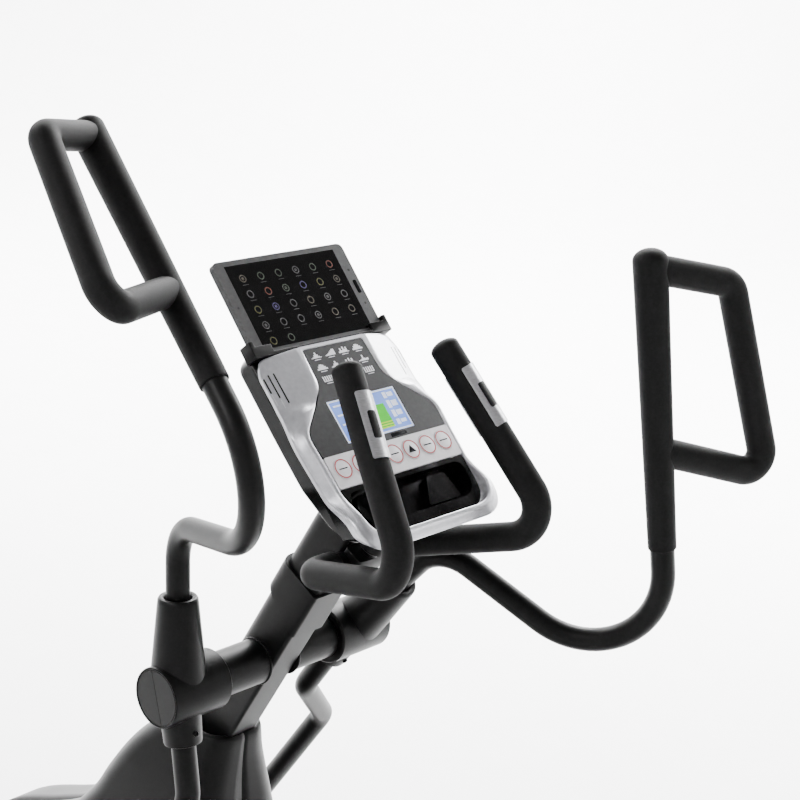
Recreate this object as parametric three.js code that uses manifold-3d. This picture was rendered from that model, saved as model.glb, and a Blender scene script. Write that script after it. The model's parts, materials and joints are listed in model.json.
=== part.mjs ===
// Front-drive elliptical trainer: swinging handlebars, foot rails on rollers, crank, flywheel and console.
// Millimetres. X is the user's right, +Y the way the user faces, +Z up, origin on the floor under the middle.
import * as THREE from "three";
import { mergeVertices } from "three/addons/utils/BufferGeometryUtils.js";
import Module from "manifold-3d";

const wasm = await Module();
wasm.setup();

// ---- driving dimensions ----
const GAP = 0.3;
const HALF_LENGTH = 985;

const PIVOT = { y: 345, z: 1020 };
const SWING = THREE.MathUtils.degToRad(22.25);
const SOCKET_LEAN = THREE.MathUtils.degToRad(14.3);
const ARM_X = 150;
const TUBE_R = 14.5;
const LOWER_LEAN = THREE.MathUtils.degToRad(7);
const LOWER_R = 15;
const LOWER_X = 270;
const ARM_REACH = 630;
const AXLE_R = 12.5;

const MAST_LEAN = THREE.MathUtils.degToRad(24.7);
const MAST_HALF_WIDTH = 24;
const MAST_BACK = 25;
const MAST_FRONT = 38;
const MAST_FOOT = -550;

const CRANK = { y: 485, z: 365, radius: 238, disc: 285 };
const FLYWHEEL = { y: 755, z: 300, radius: 135 };
const PULLEY_R = 130;
const SMALL_PULLEY_R = 26;
const BELT = 4;

const BEAM = { half: 30, bottom: 45, top: 105 };
const SHROUD_HALF = 100;
const WALL = 3;

const RAIL = { x0: 126, x1: 160, height: 50, length: 1130, rollerZ: 155, rollerR: 35 };
const TRACK_TOP = RAIL.rollerZ - RAIL.rollerR - GAP;
const BRACKET_BEHIND = 307;
const PEDAL = { behind: 720, half: 165, x0: 103, x1: 243, deck: 298, rim: 20 };

const PANEL_AT = new THREE.Vector3(0, 245.2, 1397);
const PANEL_LEAN = THREE.MathUtils.degToRad(49.8);
const TABLET_AT = new THREE.Vector3(0, 319.8, 1443.9);
const TABLET_LEAN = THREE.MathUtils.degToRad(46.8);
const TABLET = { half: 106, height: 121, thick: 8 };
const KEY = { count: 7, pitch: 28.2, v: -73, radius: 12.6 };

// ---- materials ----
const finish = (color, roughness, metalness) => ({ color, roughness, metalness });
const BLACK_PAINT = finish(0x1b1b1d, 0.35, 0.1);
const BLACK_PLASTIC = finish(0x18181a, 0.55, 0);
const GLOSS_BLACK = finish(0x0c0c0e, 0.15, 0);
const FOAM = finish(0x131314, 0.95, 0);
const SILVER = finish(0xc9ccd0, 0.3, 0.6);
const CHARCOAL = finish(0x2b2c30, 0.5, 0);
const LCD_BLUE = finish(0x2a63d8, 0.2, 0);
const KEY_WHITE = finish(0xe8e8ea, 0.45, 0);
const STEEL = finish(0xb4b7ba, 0.3, 0.9);
const CAST = finish(0x4a4c4f, 0.6, 0.7);
const RUBBER = finish(0x1a1a1a, 0.9, 0);
const BOARD_GREEN = finish(0x1f5a36, 0.6, 0);
const SCREEN = finish(0x08090b, 0.1, 0);

const machine = new THREE.Group();
machine.name = "elliptical_trainer";

function piece(name, geometry, look) {
  const material = new THREE.MeshStandardMaterial(look);
  const mesh = new THREE.Mesh(geometry, material);
  mesh.name = name;
  machine.add(mesh);
}

// ---- solid helpers ----
function toSolid(geometry) {
  const bare = geometry.clone();
  bare.deleteAttribute("normal");
  bare.deleteAttribute("uv");
  const merged = mergeVertices(bare, 1e-3);
  const index = merged.index.array;
  const triangles = [];
  for (let i = 0; i < index.length; i += 3) {
    const [a, b, c] = [index[i], index[i + 1], index[i + 2]];
    if (a !== b && b !== c && c !== a) triangles.push(a, b, c);
  }
  const vertProperties = new Float32Array(merged.attributes.position.array);
  return new wasm.Manifold(new wasm.Mesh({ numProp: 3, vertProperties, triVerts: new Uint32Array(triangles) }));
}

function toGeometry(solid) {
  const mesh = solid.simplify(0.05).getMesh();
  const geometry = new THREE.BufferGeometry();
  geometry.setAttribute("position", new THREE.BufferAttribute(new Float32Array(mesh.vertProperties), 3));
  geometry.setIndex(new THREE.BufferAttribute(new Uint32Array(mesh.triVerts), 1));
  geometry.computeVertexNormals();
  return geometry;
}

const join = (...parts) => toGeometry(parts.map(toSolid).reduce((a, b) => a.add(b)));
const cut = (body, ...tools) => toGeometry(tools.map(toSolid).reduce((a, b) => a.subtract(b), toSolid(body)));
const common = (a, b) => toGeometry(toSolid(a).intersect(toSolid(b)));

// Mirror across the middle plane, keeping the faces turned outward.
function mirrored(geometry) {
  return toGeometry(toSolid(geometry).mirror([1, 0, 0]));
}

function boxFrom([x0, x1], [y0, y1], [z0, z1]) {
  const box = new THREE.BoxGeometry(x1 - x0, y1 - y0, z1 - z0);
  return box.translate((x0 + x1) / 2, (y0 + y1) / 2, (z0 + z1) / 2);
}

function rod(from, to, fromRadius, toRadius = fromRadius, sides = 16) {
  const span = new THREE.Vector3().subVectors(to, from);
  const geometry = new THREE.CylinderGeometry(toRadius, fromRadius, span.length(), sides);
  geometry.translate(0, span.length() / 2, 0);
  const turn = new THREE.Quaternion().setFromUnitVectors(new THREE.Vector3(0, 1, 0), span.normalize());
  geometry.applyQuaternion(turn);
  return geometry.translate(from.x, from.y, from.z);
}

// A turned body about the X axis: profile of [x, radius] pairs, starting and ending on the axis.
function turnedX(profile, y, z, sides = 20) {
  const points = profile.map(([x, radius]) => new THREE.Vector2(radius, x));
  const geometry = new THREE.LatheGeometry(points, sides);
  geometry.rotateZ(-Math.PI / 2);
  return geometry.translate(0, y, z);
}

const discX = (x0, x1, radius, y, z, sides = 20) =>
  rod(new THREE.Vector3(x0, y, z), new THREE.Vector3(x1, y, z), radius, radius, sides);

function polygon(points) {
  return new THREE.Shape(points.map(([a, b]) => new THREE.Vector2(a, b)));
}

// Polygon with every corner eased by a curve that leaves the sides `ease` from the corner.
function softPolygon(points, ease) {
  const shape = new THREE.Shape();
  const count = points.length;
  points.forEach((corner, i) => {
    const here = new THREE.Vector2(...corner);
    const before = new THREE.Vector2(...points[(i + count - 1) % count]);
    const after = new THREE.Vector2(...points[(i + 1) % count]);
    const reach = corner[2] ?? ease;
    const enter = here.clone().add(before.clone().sub(here).setLength(reach));
    const leave = here.clone().add(after.clone().sub(here).setLength(reach));
    if (i === 0) shape.moveTo(enter.x, enter.y);
    else shape.lineTo(enter.x, enter.y);
    shape.quadraticCurveTo(here.x, here.y, leave.x, leave.y);
  });
  return shape;
}

function slab(shape, low, high, bevel = 0, curveSegments = 3) {
  const geometry = new THREE.ExtrudeGeometry(shape, {
    depth: high - low - 2 * bevel,
    bevelEnabled: bevel > 0,
    bevelThickness: bevel,
    bevelSize: bevel,
    bevelOffset: -bevel,
    bevelSegments: 2,
    curveSegments,
  });
  return geometry.translate(0, 0, low + bevel);
}

// Side outline in (y, z), spanning x0..x1.
function slabX(shape, x0, x1, bevel = 0, curveSegments = 3) {
  const side = new THREE.Matrix4().makeBasis(
    new THREE.Vector3(0, 1, 0), new THREE.Vector3(0, 0, 1), new THREE.Vector3(1, 0, 0));
  return slab(shape, x0, x1, bevel, curveSegments).applyMatrix4(side);
}

// A path through corners, each corner rounded to its own radius.
function bentPath(corners, radii, stepAngle = Math.PI / 7) {
  const path = [corners[0]];
  for (let i = 1; i < corners.length - 1; i++) {
    const toPrevious = new THREE.Vector3().subVectors(corners[i - 1], corners[i]).normalize();
    const toNext = new THREE.Vector3().subVectors(corners[i + 1], corners[i]).normalize();
    const opening = toPrevious.angleTo(toNext);
    const radius = radii[i - 1];
    const tangent = radius / Math.tan(opening / 2);
    const middle = new THREE.Vector3().addVectors(toPrevious, toNext).normalize();
    const centre = corners[i].clone().addScaledVector(middle, radius / Math.sin(opening / 2));
    const start = corners[i].clone().addScaledVector(toPrevious, tangent).sub(centre);
    const end = corners[i].clone().addScaledVector(toNext, tangent).sub(centre);
    const turn = Math.PI - opening;
    const steps = Math.max(2, Math.ceil(turn / stepAngle));
    for (let k = 0; k <= steps; k++) {
      const a = Math.sin(turn * (1 - k / steps)) / Math.sin(turn);
      const b = Math.sin((turn * k) / steps) / Math.sin(turn);
      path.push(centre.clone().addScaledVector(start, a).addScaledVector(end, b));
    }
  }
  path.push(corners[corners.length - 1]);
  return path;
}

class RingPath extends THREE.Curve {
  constructor(points) {
    super();
    this.points = points;
  }

  getPointAt(u) {
    return this.points[Math.round(u * (this.points.length - 1))].clone();
  }

  getTangentAt(u) {
    const i = Math.round(u * (this.points.length - 1));
    const before = this.points[Math.max(i - 1, 0)];
    const after = this.points[Math.min(i + 1, this.points.length - 1)];
    const arrive = new THREE.Vector3().subVectors(this.points[i], before).normalize();
    const leave = new THREE.Vector3().subVectors(after, this.points[i]).normalize();
    return arrive.add(leave).normalize();
  }
}

function tube(points, radius, sides = 12) {
  const round = new THREE.Shape();
  round.absarc(0, 0, radius, 0, 2 * Math.PI);
  const extrudePath = new RingPath(points);
  return new THREE.ExtrudeGeometry(round, { steps: points.length - 1, extrudePath, curveSegments: sides / 2 });
}

// ---- frames of the leaning parts ----
const MAST_UP = new THREE.Vector3(0, -Math.sin(MAST_LEAN), Math.cos(MAST_LEAN));
const MAST_FORWARD = new THREE.Vector3(0, Math.cos(MAST_LEAN), Math.sin(MAST_LEAN));

function mastPoint(x, forward, up) {
  return new THREE.Vector3(x, PIVOT.y, PIVOT.z).addScaledVector(MAST_FORWARD, forward).addScaledVector(MAST_UP, up);
}

const MAST_FRAME = new THREE.Matrix4().makeBasis(new THREE.Vector3(1, 0, 0), MAST_FORWARD, MAST_UP);
MAST_FRAME.setPosition(0, PIVOT.y, PIVOT.z);

const alongMast = (shape, low, high) => slab(shape, low, high).applyMatrix4(MAST_FRAME);

function leaningFace(origin, lean) {
  const across = new THREE.Vector3(1, 0, 0);
  const up = new THREE.Vector3(0, Math.sin(lean), Math.cos(lean));
  const out = new THREE.Vector3(0, -Math.cos(lean), Math.sin(lean));
  return new THREE.Matrix4().makeBasis(across, up, out).setPosition(origin);
}

const PANEL_FRAME = leaningFace(PANEL_AT, PANEL_LEAN);
const TABLET_FRAME = leaningFace(TABLET_AT, TABLET_LEAN);

const onPanel = (shape, low, high, bevel = 0) => slab(shape, low, high, bevel).applyMatrix4(PANEL_FRAME);
const onTablet = (geometry) => geometry.applyMatrix4(TABLET_FRAME);

// ---- floor frame ----
function mainFrame() {
  const half = BEAM.half;
  const beam = boxFrom([-half, half], [-HALF_LENGTH + 60 + GAP, 868 - GAP], [BEAM.bottom, BEAM.top]);
  const crossbar = boxFrom([-178, 178], [-375, -325], [BEAM.bottom, TRACK_TOP - 36 - GAP]);
  const postTop = [mastPoint(0, MAST_FRONT, MAST_FOOT - GAP), mastPoint(0, -MAST_BACK, MAST_FOOT - GAP)];
  const post = slabX(polygon([
    [545, BEAM.top - 5], [610, BEAM.top - 5],
    [postTop[0].y, postTop[0].z], [postTop[1].y, postTop[1].z],
  ]), -MAST_HALF_WIDTH, MAST_HALF_WIDTH);
  const gusset = boxFrom([-12, 12], [CRANK.y, 570], [CRANK.z - 30, CRANK.z + 30]);
  const shell = discX(-36, 36, 30, CRANK.y, CRANK.z);
  const bore = discX(-40, 40, 12.4, CRANK.y, CRANK.z, 16);
  const cheek = (x0, x1) => boxFrom([x0, x1], [FLYWHEEL.y - 30, FLYWHEEL.y + 30], [50, FLYWHEEL.z + 25]);
  const spacer = boxFrom([-39, 39], [FLYWHEEL.y - 30, FLYWHEEL.y + 30], [60, BEAM.top - 5]);
  const axleHole = discX(-45, 45, 8.3, FLYWHEEL.y, FLYWHEEL.z, 16);
  const welded = join(beam, crossbar, post, gusset, shell, cheek(-39, -33), cheek(33, 39), spacer);
  return cut(welded, bore, axleHole);
}

const WHEEL = { y: 957, z: 42, radius: 28, x0: 199.5, x1: 225.5 };

function frontStabilizer() {
  const parts = [boxFrom([-290, 290], [868, 928], [20, 80])];
  for (const side of [-1, 1]) {
    const span = (a, b) => (side < 0 ? [-b, -a] : [a, b]);
    parts.push(boxFrom(span(235, 290), [868, 928], [0, 25]));
    parts.push(boxFrom(span(WHEEL.x0 - 4, WHEEL.x0 - 0.5), [920, 966], [30, 54]));
    parts.push(boxFrom(span(WHEEL.x1 + 0.5, WHEEL.x1 + 4), [920, 966], [30, 54]));
    parts.push(discX(side * (WHEEL.x0 - 4), side * (WHEEL.x1 + 4), 5, WHEEL.y, WHEEL.z, 12));
  }
  return join(...parts);
}

function rearStabilizer() {
  const span = [-HALF_LENGTH, -HALF_LENGTH + 60];
  return join(
    boxFrom([-290, 290], span, [20, TRACK_TOP - 36 - GAP]),
    boxFrom([-290, -235], span, [0, 25]),
    boxFrom([235, 290], span, [0, 25]));
}

function track(side) {
  const profile = polygon([[110, 84], [176, 84], [176, 130], [172, 130], [172, TRACK_TOP], [114, TRACK_TOP],
    [114, 130], [110, 130]]);
  const lane = slab(profile, 330, 945);
  lane.rotateX(Math.PI / 2);
  return side < 0 ? mirrored(lane) : lane;
}

piece("main_frame", mainFrame(), BLACK_PAINT);
piece("front_stabilizer", frontStabilizer(), BLACK_PAINT);
piece("rear_stabilizer", rearStabilizer(), BLACK_PAINT);
piece("track_left", track(-1), STEEL);
piece("track_right", track(1), STEEL);

// ---- crank, flywheel and belt ----
function wheelRing(x0, x1, radius, bore, y, z, sides) {
  return cut(discX(x0, x1, radius, y, z, sides), discX(x0 - 1, x1 + 1, bore, y, z, 16));
}

function crankDisc(side) {
  const at = (x) => side * x;
  const profile = [[at(105), 0], [at(105), CRANK.disc - 3], [at(108), CRANK.disc], [at(115), CRANK.disc],
    [at(118), CRANK.disc - 3], [at(118), 0]];
  return turnedX(side < 0 ? profile.reverse() : profile, CRANK.y, CRANK.z, 40);
}

function beltLoop(big, small) {
  const run = new THREE.Vector2(FLYWHEEL.y - CRANK.y, FLYWHEEL.z - CRANK.z);
  const heading = run.angle();
  const spread = Math.acos((big - small) / run.length());
  const loop = new THREE.Shape();
  loop.absarc(CRANK.y, CRANK.z, big, heading + spread, heading - spread + 2 * Math.PI);
  loop.absarc(FLYWHEEL.y, FLYWHEEL.z, small, heading - spread, heading + spread);
  loop.closePath();
  return loop;
}

function driveBelt() {
  const loop = beltLoop(PULLEY_R + 1 + BELT, SMALL_PULLEY_R + 1 + BELT);
  loop.holes.push(beltLoop(PULLEY_R + 1, SMALL_PULLEY_R + 1));
  return slabX(loop, 42, 54, 0, 10);
}

function flywheelShaft() {
  return join(discX(-45, 60, 8, FLYWHEEL.y, FLYWHEEL.z, 16), discX(41, 55, SMALL_PULLEY_R, FLYWHEEL.y, FLYWHEEL.z));
}

function brakeMagnet() {
  return cut(boxFrom([-34, 34], [862, 906], [285, 325]), boxFrom([-23, 23], [850, 896], [280, 330]));
}

piece("crank_axle", discX(-104.7, 104.7, 12, CRANK.y, CRANK.z, 16), STEEL);
piece("crank_disc_left", crankDisc(-1), GLOSS_BLACK);
piece("crank_disc_right", crankDisc(1), GLOSS_BLACK);
piece("drive_pulley", wheelRing(40, 56, PULLEY_R, 12.3, CRANK.y, CRANK.z, 32), BLACK_PLASTIC);
piece("flywheel", wheelRing(-20, 20, FLYWHEEL.radius, 8.3, FLYWHEEL.y, FLYWHEEL.z, 32), CAST);
piece("flywheel_shaft", flywheelShaft(), STEEL);
piece("drive_belt", driveBelt(), RUBBER);
piece("brake_magnet", brakeMagnet(), STEEL);
piece("transport_wheel_left", wheelRing(-WHEEL.x1, -WHEEL.x0, WHEEL.radius, 5.4, WHEEL.y, WHEEL.z, 20), RUBBER);
piece("transport_wheel_right", wheelRing(WHEEL.x0, WHEEL.x1, WHEEL.radius, 5.4, WHEEL.y, WHEEL.z, 20), RUBBER);

// ---- shroud ----
const SHROUD_SIDE = [
  [170, BEAM.top + GAP, 30], [150, 330, 90], [205, 520, 60], [330, 690, 60], [364, 800, 45], [370, 886, 32],
  [470, 896, 40], [540, 815, 35], [578, 735, 45], [700, 610, 80], [905, 520, 90], [930, 300, 90],
  [915, BEAM.top + GAP, 30],
];
const SHROUD_WIDTH = [[BEAM.top, 96], [200, 100], [620, 100], [700, 92], [760, 80], [800, 72], [850, 58],
  [900, 48]];

const SHROUD_EDGE = 12;

function shroudSolid(inset, floor) {
  const side = softPolygon(SHROUD_SIDE, 40);
  const profile = new THREE.ExtrudeGeometry(side, {
    depth: 2 * (SHROUD_HALF - inset - SHROUD_EDGE),
    bevelThickness: SHROUD_EDGE,
    bevelSize: SHROUD_EDGE,
    bevelOffset: -SHROUD_EDGE - inset,
    bevelSegments: 2,
    curveSegments: 3,
  });
  profile.translate(0, 0, -(SHROUD_HALF - inset - SHROUD_EDGE));
  const stand = new THREE.Matrix4().makeBasis(
    new THREE.Vector3(0, 1, 0), new THREE.Vector3(0, 0, 1), new THREE.Vector3(1, 0, 0));
  profile.applyMatrix4(stand);
  const right = SHROUD_WIDTH.map(([z, half]) => [half - inset, z]);
  const left = SHROUD_WIDTH.map(([z, half]) => [-half + inset, z]).reverse();
  const front = slab(polygon([...right, ...left]), -1000, 0);
  front.rotateX(Math.PI / 2);
  const body = common(profile, front);
  if (!floor) return body;
  return join(body, boxFrom([-90 + inset, 90 - inset], [190, 895], [BEAM.top - 20, BEAM.top + 60]));
}

function mastSection(grow) {
  const x = MAST_HALF_WIDTH + grow;
  const back = -MAST_BACK - grow;
  const front = MAST_FRONT + grow;
  return softPolygon([[-x, back, 6], [x, back, 6], [x, front, 20], [-x, front, 20]], 6);
}

function shroudShells() {
  const hollow = cut(shroudSolid(0, false), shroudSolid(WALL, true));
  const mastHole = alongMast(mastSection(2), MAST_FOOT, 0);
  const axleHole = discX(-150, 150, 20, CRANK.y, CRANK.z);
  const shell = cut(hollow, mastHole, axleHole);
  const leftSide = boxFrom([-200, -0.2], [-500, 1500], [0, 1500]);
  const rightSide = boxFrom([0.2, 200], [-500, 1500], [0, 1500]);
  return [common(shell, leftSide), common(shell, rightSide)];
}

const [shroudLeft, shroudRight] = shroudShells();
piece("shroud_left", shroudLeft, BLACK_PLASTIC);
piece("shroud_right", shroudRight, BLACK_PLASTIC);

// ---- fixed handlebar ----
const BAR_R = 13;
const BAR_FOAM_R = 17.5;
const barCorner = (side, x, y, z) => new THREE.Vector3(side * x, y, z);
const gripEnd = (side) => barCorner(side, 82, 203, 1459);
const gripStart = (side) => barCorner(side, 128, 36, 1280);
const barTurn = (side) => barCorner(side, 79, 224, 1205);
const BAR_MID = new THREE.Vector3(0, barTurn(1).y, barTurn(1).z);
const BAR_UP = new THREE.Vector3().subVectors(BAR_MID, mastPoint(0, 0, 0)).dot(MAST_UP);
const BAR_OUT = new THREE.Vector3().subVectors(BAR_MID, mastPoint(0, 0, 0)).dot(MAST_FORWARD);

// ---- mast ----
const CONSOLE_BACK = -48;

function mast() {
  const column = alongMast(mastSection(0), MAST_FOOT, 380);
  const above = slab(polygon([[-200, -400], [200, -400], [200, 200], [-200, 200]]), CONSOLE_BACK - GAP, 300);
  above.applyMatrix4(PANEL_FRAME);
  const stub = discX(-95.5, 95.5, 28.5, PIVOT.y, PIVOT.z);
  const middle = alongMast(polygon([[-23, -60], [23, -60], [23, -MAST_BACK], [-23, -MAST_BACK]]), -60, 60);
  const bore = discX(-100, 100, AXLE_R + GAP, PIVOT.y, PIVOT.z, 20);
  const barSaddle = discX(-40, 40, BAR_R + GAP, BAR_MID.y, BAR_MID.z, 20);
  return cut(join(column, cut(stub, middle)), above, bore, barSaddle);
}

function mastCollar() {
  const outer = alongMast(mastSection(4), 70, 150);
  const slant = slabX(polygon([[-40, 74], [60, 112], [60, 155], [-40, 155]]), -40, 40);
  return cut(common(outer, slant.applyMatrix4(MAST_FRAME)), alongMast(mastSection(GAP), 60, 160));
}

piece("mast", mast(), BLACK_PAINT);
piece("pivot_axle", discX(-178, 178, AXLE_R, PIVOT.y, PIVOT.z, 20), STEEL);
piece("mast_collar", mastCollar(), BLACK_PLASTIC);

function fixedBarPath() {
  const corners = [gripEnd(-1), gripStart(-1), barTurn(-1), barTurn(1), gripStart(1), gripEnd(1)];
  return bentPath(corners, [40, 26, 26, 40]);
}

function alongGrip(side, fraction) {
  return gripEnd(side).lerp(gripStart(side), fraction);
}

function gripPath(side, beyondEnd, inner) {
  return bentPath([alongGrip(side, -beyondEnd), gripStart(side), barTurn(side), barCorner(side, inner, 224, 1205)],
    [40, 26]);
}

function fixedGrip(side) {
  return cut(tube(gripPath(side, 0.03, 30), BAR_FOAM_R), tube(gripPath(side, 0.002, 28), BAR_R + GAP));
}

function pulseSensor(side) {
  const arc = new THREE.Shape();
  const [inner, outer] = [BAR_FOAM_R + 0.9, BAR_FOAM_R + 2.6];
  arc.absarc(0, 0, outer, -0.7, 0.7, false);
  arc.absarc(0, 0, inner, 0.7, -0.7, true);
  arc.closePath();
  const axis = new THREE.Vector3().subVectors(gripEnd(side), gripStart(side)).normalize();
  const toUser = new THREE.Vector3(0, -Math.cos(PANEL_LEAN), Math.sin(PANEL_LEAN));
  const face = toUser.addScaledVector(axis, -toUser.dot(axis)).normalize();
  const third = new THREE.Vector3().crossVectors(axis, face);
  const place = new THREE.Matrix4().makeBasis(face, third, axis).setPosition(alongGrip(side, 0.43));
  return slab(arc, 0, 78, 0, 4).applyMatrix4(place);
}

const CLAMP_HALF = 21;

function handlebarClamp() {
  const low = BAR_OUT - BAR_R - 7;
  const block = alongMast(softPolygon([[-25, low], [25, low], [25, -MAST_BACK - GAP], [-25, -MAST_BACK - GAP]], 5),
    BAR_UP - CLAMP_HALF, BAR_UP + CLAMP_HALF);
  return cut(block, discX(-40, 40, BAR_R + GAP, BAR_MID.y, BAR_MID.z, 20));
}

function knob() {
  const start = BAR_UP + CLAMP_HALF + GAP;
  const centre = (up) => mastPoint(0, BAR_OUT - 10, up);
  return join(rod(centre(start), centre(start + 8), 10), rod(centre(start + 7), centre(start + 34), 16, 14));
}

piece("handlebar_fixed", tube(fixedBarPath(), BAR_R), BLACK_PAINT);
piece("handlebar_clamp", handlebarClamp(), BLACK_PLASTIC);
piece("clamp_knob", knob(), BLACK_PLASTIC);
for (const [name, side] of [["left", -1], ["right", 1]]) {
  piece(`fixed_grip_${name}`, fixedGrip(side), FOAM);
  piece(`pulse_sensor_${name}`, pulseSensor(side), STEEL);
}

// ---- swinging arms, drawn at mid swing about the pivot and then turned ----
const fromPivot = (side, x, y, z) => new THREE.Vector3(side * x, PIVOT.y + y, PIVOT.z + z);
const UP_SOCKET = new THREE.Vector3(0, -Math.sin(SOCKET_LEAN), Math.cos(SOCKET_LEAN));

function onArmAxis(side, x, reach) {
  return fromPivot(side, x, UP_SOCKET.y * reach, UP_SOCKET.z * reach);
}

function belowPivot(side, x, reach) {
  return fromPivot(side, x, Math.sin(LOWER_LEAN) * reach, -Math.cos(LOWER_LEAN) * reach);
}

function swung(geometry, side) {
  geometry.translate(0, -PIVOT.y, -PIVOT.z);
  geometry.rotateX(side * SWING);
  return geometry.translate(0, PIVOT.y, PIVOT.z);
}

const ARM_BEND = (side) => fromPivot(side, 266, -381.6, 180.1);
const POST_TOP = (side) => fromPivot(side, 200, -74.4, 659.5);
const alongPost = (side, fraction) => ARM_BEND(side).lerp(POST_TOP(side), fraction);
const FOAM_FROM = 0.394;

function armLower(side) {
  const path = bentPath([
    belowPivot(side, ARM_X, 10), belowPivot(side, ARM_X, 140),
    belowPivot(side, LOWER_X, 272), belowPivot(side, LOWER_X, ARM_REACH),
  ], [42, 42]);
  const sleeve = discX(side * 99.5, side * 175, 24, PIVOT.y, PIVOT.z);
  const socket = rod(onArmAxis(side, ARM_X, 10), onArmAxis(side, ARM_X, 140), 12.7, 12.7, 16);
  const eye = belowPivot(side, 0, ARM_REACH);
  const boss = discX(side * 195.6, side * (LOWER_X + 18), 20, eye.y, eye.z);
  const pin = discX(side * 178, side * 200, 8, eye.y, eye.z, 16);
  const bore = discX(side * 90, side * 177, AXLE_R + GAP, PIVOT.y, PIVOT.z, 20);
  return swung(cut(join(tube(path, LOWER_R), sleeve, socket, boss, pin), bore), side);
}

function coverSolid(side, inset) {
  const barrelEnd = 185 - inset;
  const rim = inset > 0 ? 0 : 5;
  const radius = 37.5 - inset;
  const start = 96 + inset;
  const profile = [[start, 0], [start, radius - rim], [start + rim, radius], [barrelEnd - rim, radius],
    [barrelEnd, radius - rim], [barrelEnd, 0]].map(([x, r]) => [side * x, r]);
  const tidy = inset > 0 ? profile.filter((_, i) => i !== 2 && i !== 4) : profile;
  const barrel = turnedX(side < 0 ? tidy.reverse() : tidy, PIVOT.y, PIVOT.z);
  const cone = rod(onArmAxis(side, ARM_X, 20), onArmAxis(side, ARM_X, 119 - inset), 34 - inset, 24 - inset);
  const collar = rod(belowPivot(side, ARM_X, 20), belowPivot(side, ARM_X, 66 - inset), 25.5 - inset, 23 - inset);
  return join(barrel, cone, collar);
}

function armCover(side) {
  const tubeHole = rod(onArmAxis(side, ARM_X, 60), onArmAxis(side, ARM_X, 130), TUBE_R + GAP);
  const lowerHole = rod(belowPivot(side, ARM_X, 40), belowPivot(side, ARM_X, 80), LOWER_R + GAP);
  const axleHole = discX(side * 70, side * 100, AXLE_R + 1, PIVOT.y, PIVOT.z);
  return swung(cut(coverSolid(side, 0), coverSolid(side, WALL), tubeHole, lowerHole, axleHole), side);
}

function armUpper(side) {
  const path = bentPath([
    onArmAxis(side, ARM_X, 62), onArmAxis(side, ARM_X, 207), ARM_BEND(side), alongPost(side, 0.97),
  ], [55, 100]);
  const bore = rod(onArmAxis(side, ARM_X, 50), onArmAxis(side, ARM_X, 145), 13, 13, 16);
  return swung(cut(tube(path, TUBE_R), bore), side);
}

function armGrip(side) {
  const post = rod(alongPost(side, FOAM_FROM), alongPost(side, 1.0), 16.8, 20.3);
  const dome = new THREE.SphereGeometry(20.3, 16, 6).scale(1, 1, 0.7);
  const toPost = new THREE.Vector3().subVectors(POST_TOP(side), ARM_BEND(side)).normalize();
  dome.applyQuaternion(new THREE.Quaternion().setFromUnitVectors(new THREE.Vector3(0, 0, 1), toPost));
  dome.translate(...POST_TOP(side).toArray());
  const loop = tube(bentPath([
    alongPost(side, 0.985), fromPivot(side, 303, -128.2, 653.5), fromPivot(side, 369, -271.7, 460.9),
    alongPost(side, 0.606),
  ], [23, 21], Math.PI / 9), 17.3);
  const bore = rod(alongPost(side, FOAM_FROM - 0.05), alongPost(side, 0.972), TUBE_R + GAP, TUBE_R + GAP, 16);
  return swung(cut(join(post, dome, loop), bore), side);
}

for (const [name, side] of [["left", -1], ["right", 1]]) {
  piece(`arm_lower_${name}`, armLower(side), BLACK_PAINT);
  piece(`arm_cover_${name}`, armCover(side), BLACK_PLASTIC);
  piece(`arm_upper_${name}`, armUpper(side), BLACK_PAINT);
  piece(`arm_grip_${name}`, armGrip(side), FOAM);
}

// ---- foot rails, links, pedals and rollers ----
const pinY = (side) => CRANK.y + side * CRANK.radius;

function armEye(side) {
  const lean = side * SWING + LOWER_LEAN;
  return { y: PIVOT.y + ARM_REACH * Math.sin(lean), z: PIVOT.z - ARM_REACH * Math.cos(lean) };
}

// The bracket's height is the one that gives both links the same length, though the arms rest a stroke apart.
function bracketEye(side) {
  const [left, right] = [armEye(-1), armEye(1)];
  const leftRun = left.y - (pinY(-1) - BRACKET_BEHIND);
  const rightRun = right.y - (pinY(1) - BRACKET_BEHIND);
  const height = (leftRun ** 2 - rightRun ** 2 + left.z ** 2 - right.z ** 2) / (2 * (left.z - right.z));
  return { y: pinY(side) - BRACKET_BEHIND, z: height };
}

const RAIL_DROP = (CRANK.z - RAIL.rollerZ) / RAIL.length;
const railMid = (behind) => CRANK.z - RAIL_DROP * behind;

function rail(side) {
  const front = pinY(side);
  const reach = RAIL.height / 2;
  const bar = slabX(polygon([
    [front, railMid(0) - reach], [front, railMid(0) + reach],
    [front - RAIL.length, RAIL.rollerZ + 15], [front - RAIL.length - 18, RAIL.rollerZ + 8],
    [front - RAIL.length - 18, RAIL.rollerZ - 12], [front - RAIL.length, RAIL.rollerZ - 15],
  ].reverse()), RAIL.x0, RAIL.x1);
  const housing = discX(118.6, RAIL.x1, 30, front, CRANK.z);
  const eye = bracketEye(side);
  const bracket = slabX(softPolygon([
    [eye.y - 60, railMid(BRACKET_BEHIND + 60) - 10, 8], [eye.y + 60, railMid(BRACKET_BEHIND - 60) - 10, 8],
    [eye.y + 24, eye.z + 24, 22], [eye.y - 24, eye.z + 24, 22],
  ], 20), RAIL.x1 - 2, 168);
  const boss = discX(165, 179.5, 18, eye.y, eye.z);
  const rollerAt = front - RAIL.length;
  const slot = boxFrom([129.5, 156.5], [rollerAt - 60, rollerAt + RAIL.rollerR + 3], [100, 220]);
  const axle = discX(RAIL.x0, RAIL.x1, 6, rollerAt, RAIL.rollerZ, 12);
  const body = join(cut(join(bar, housing, bracket, boss), slot), axle);
  return side < 0 ? mirrored(body) : body;
}

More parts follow.
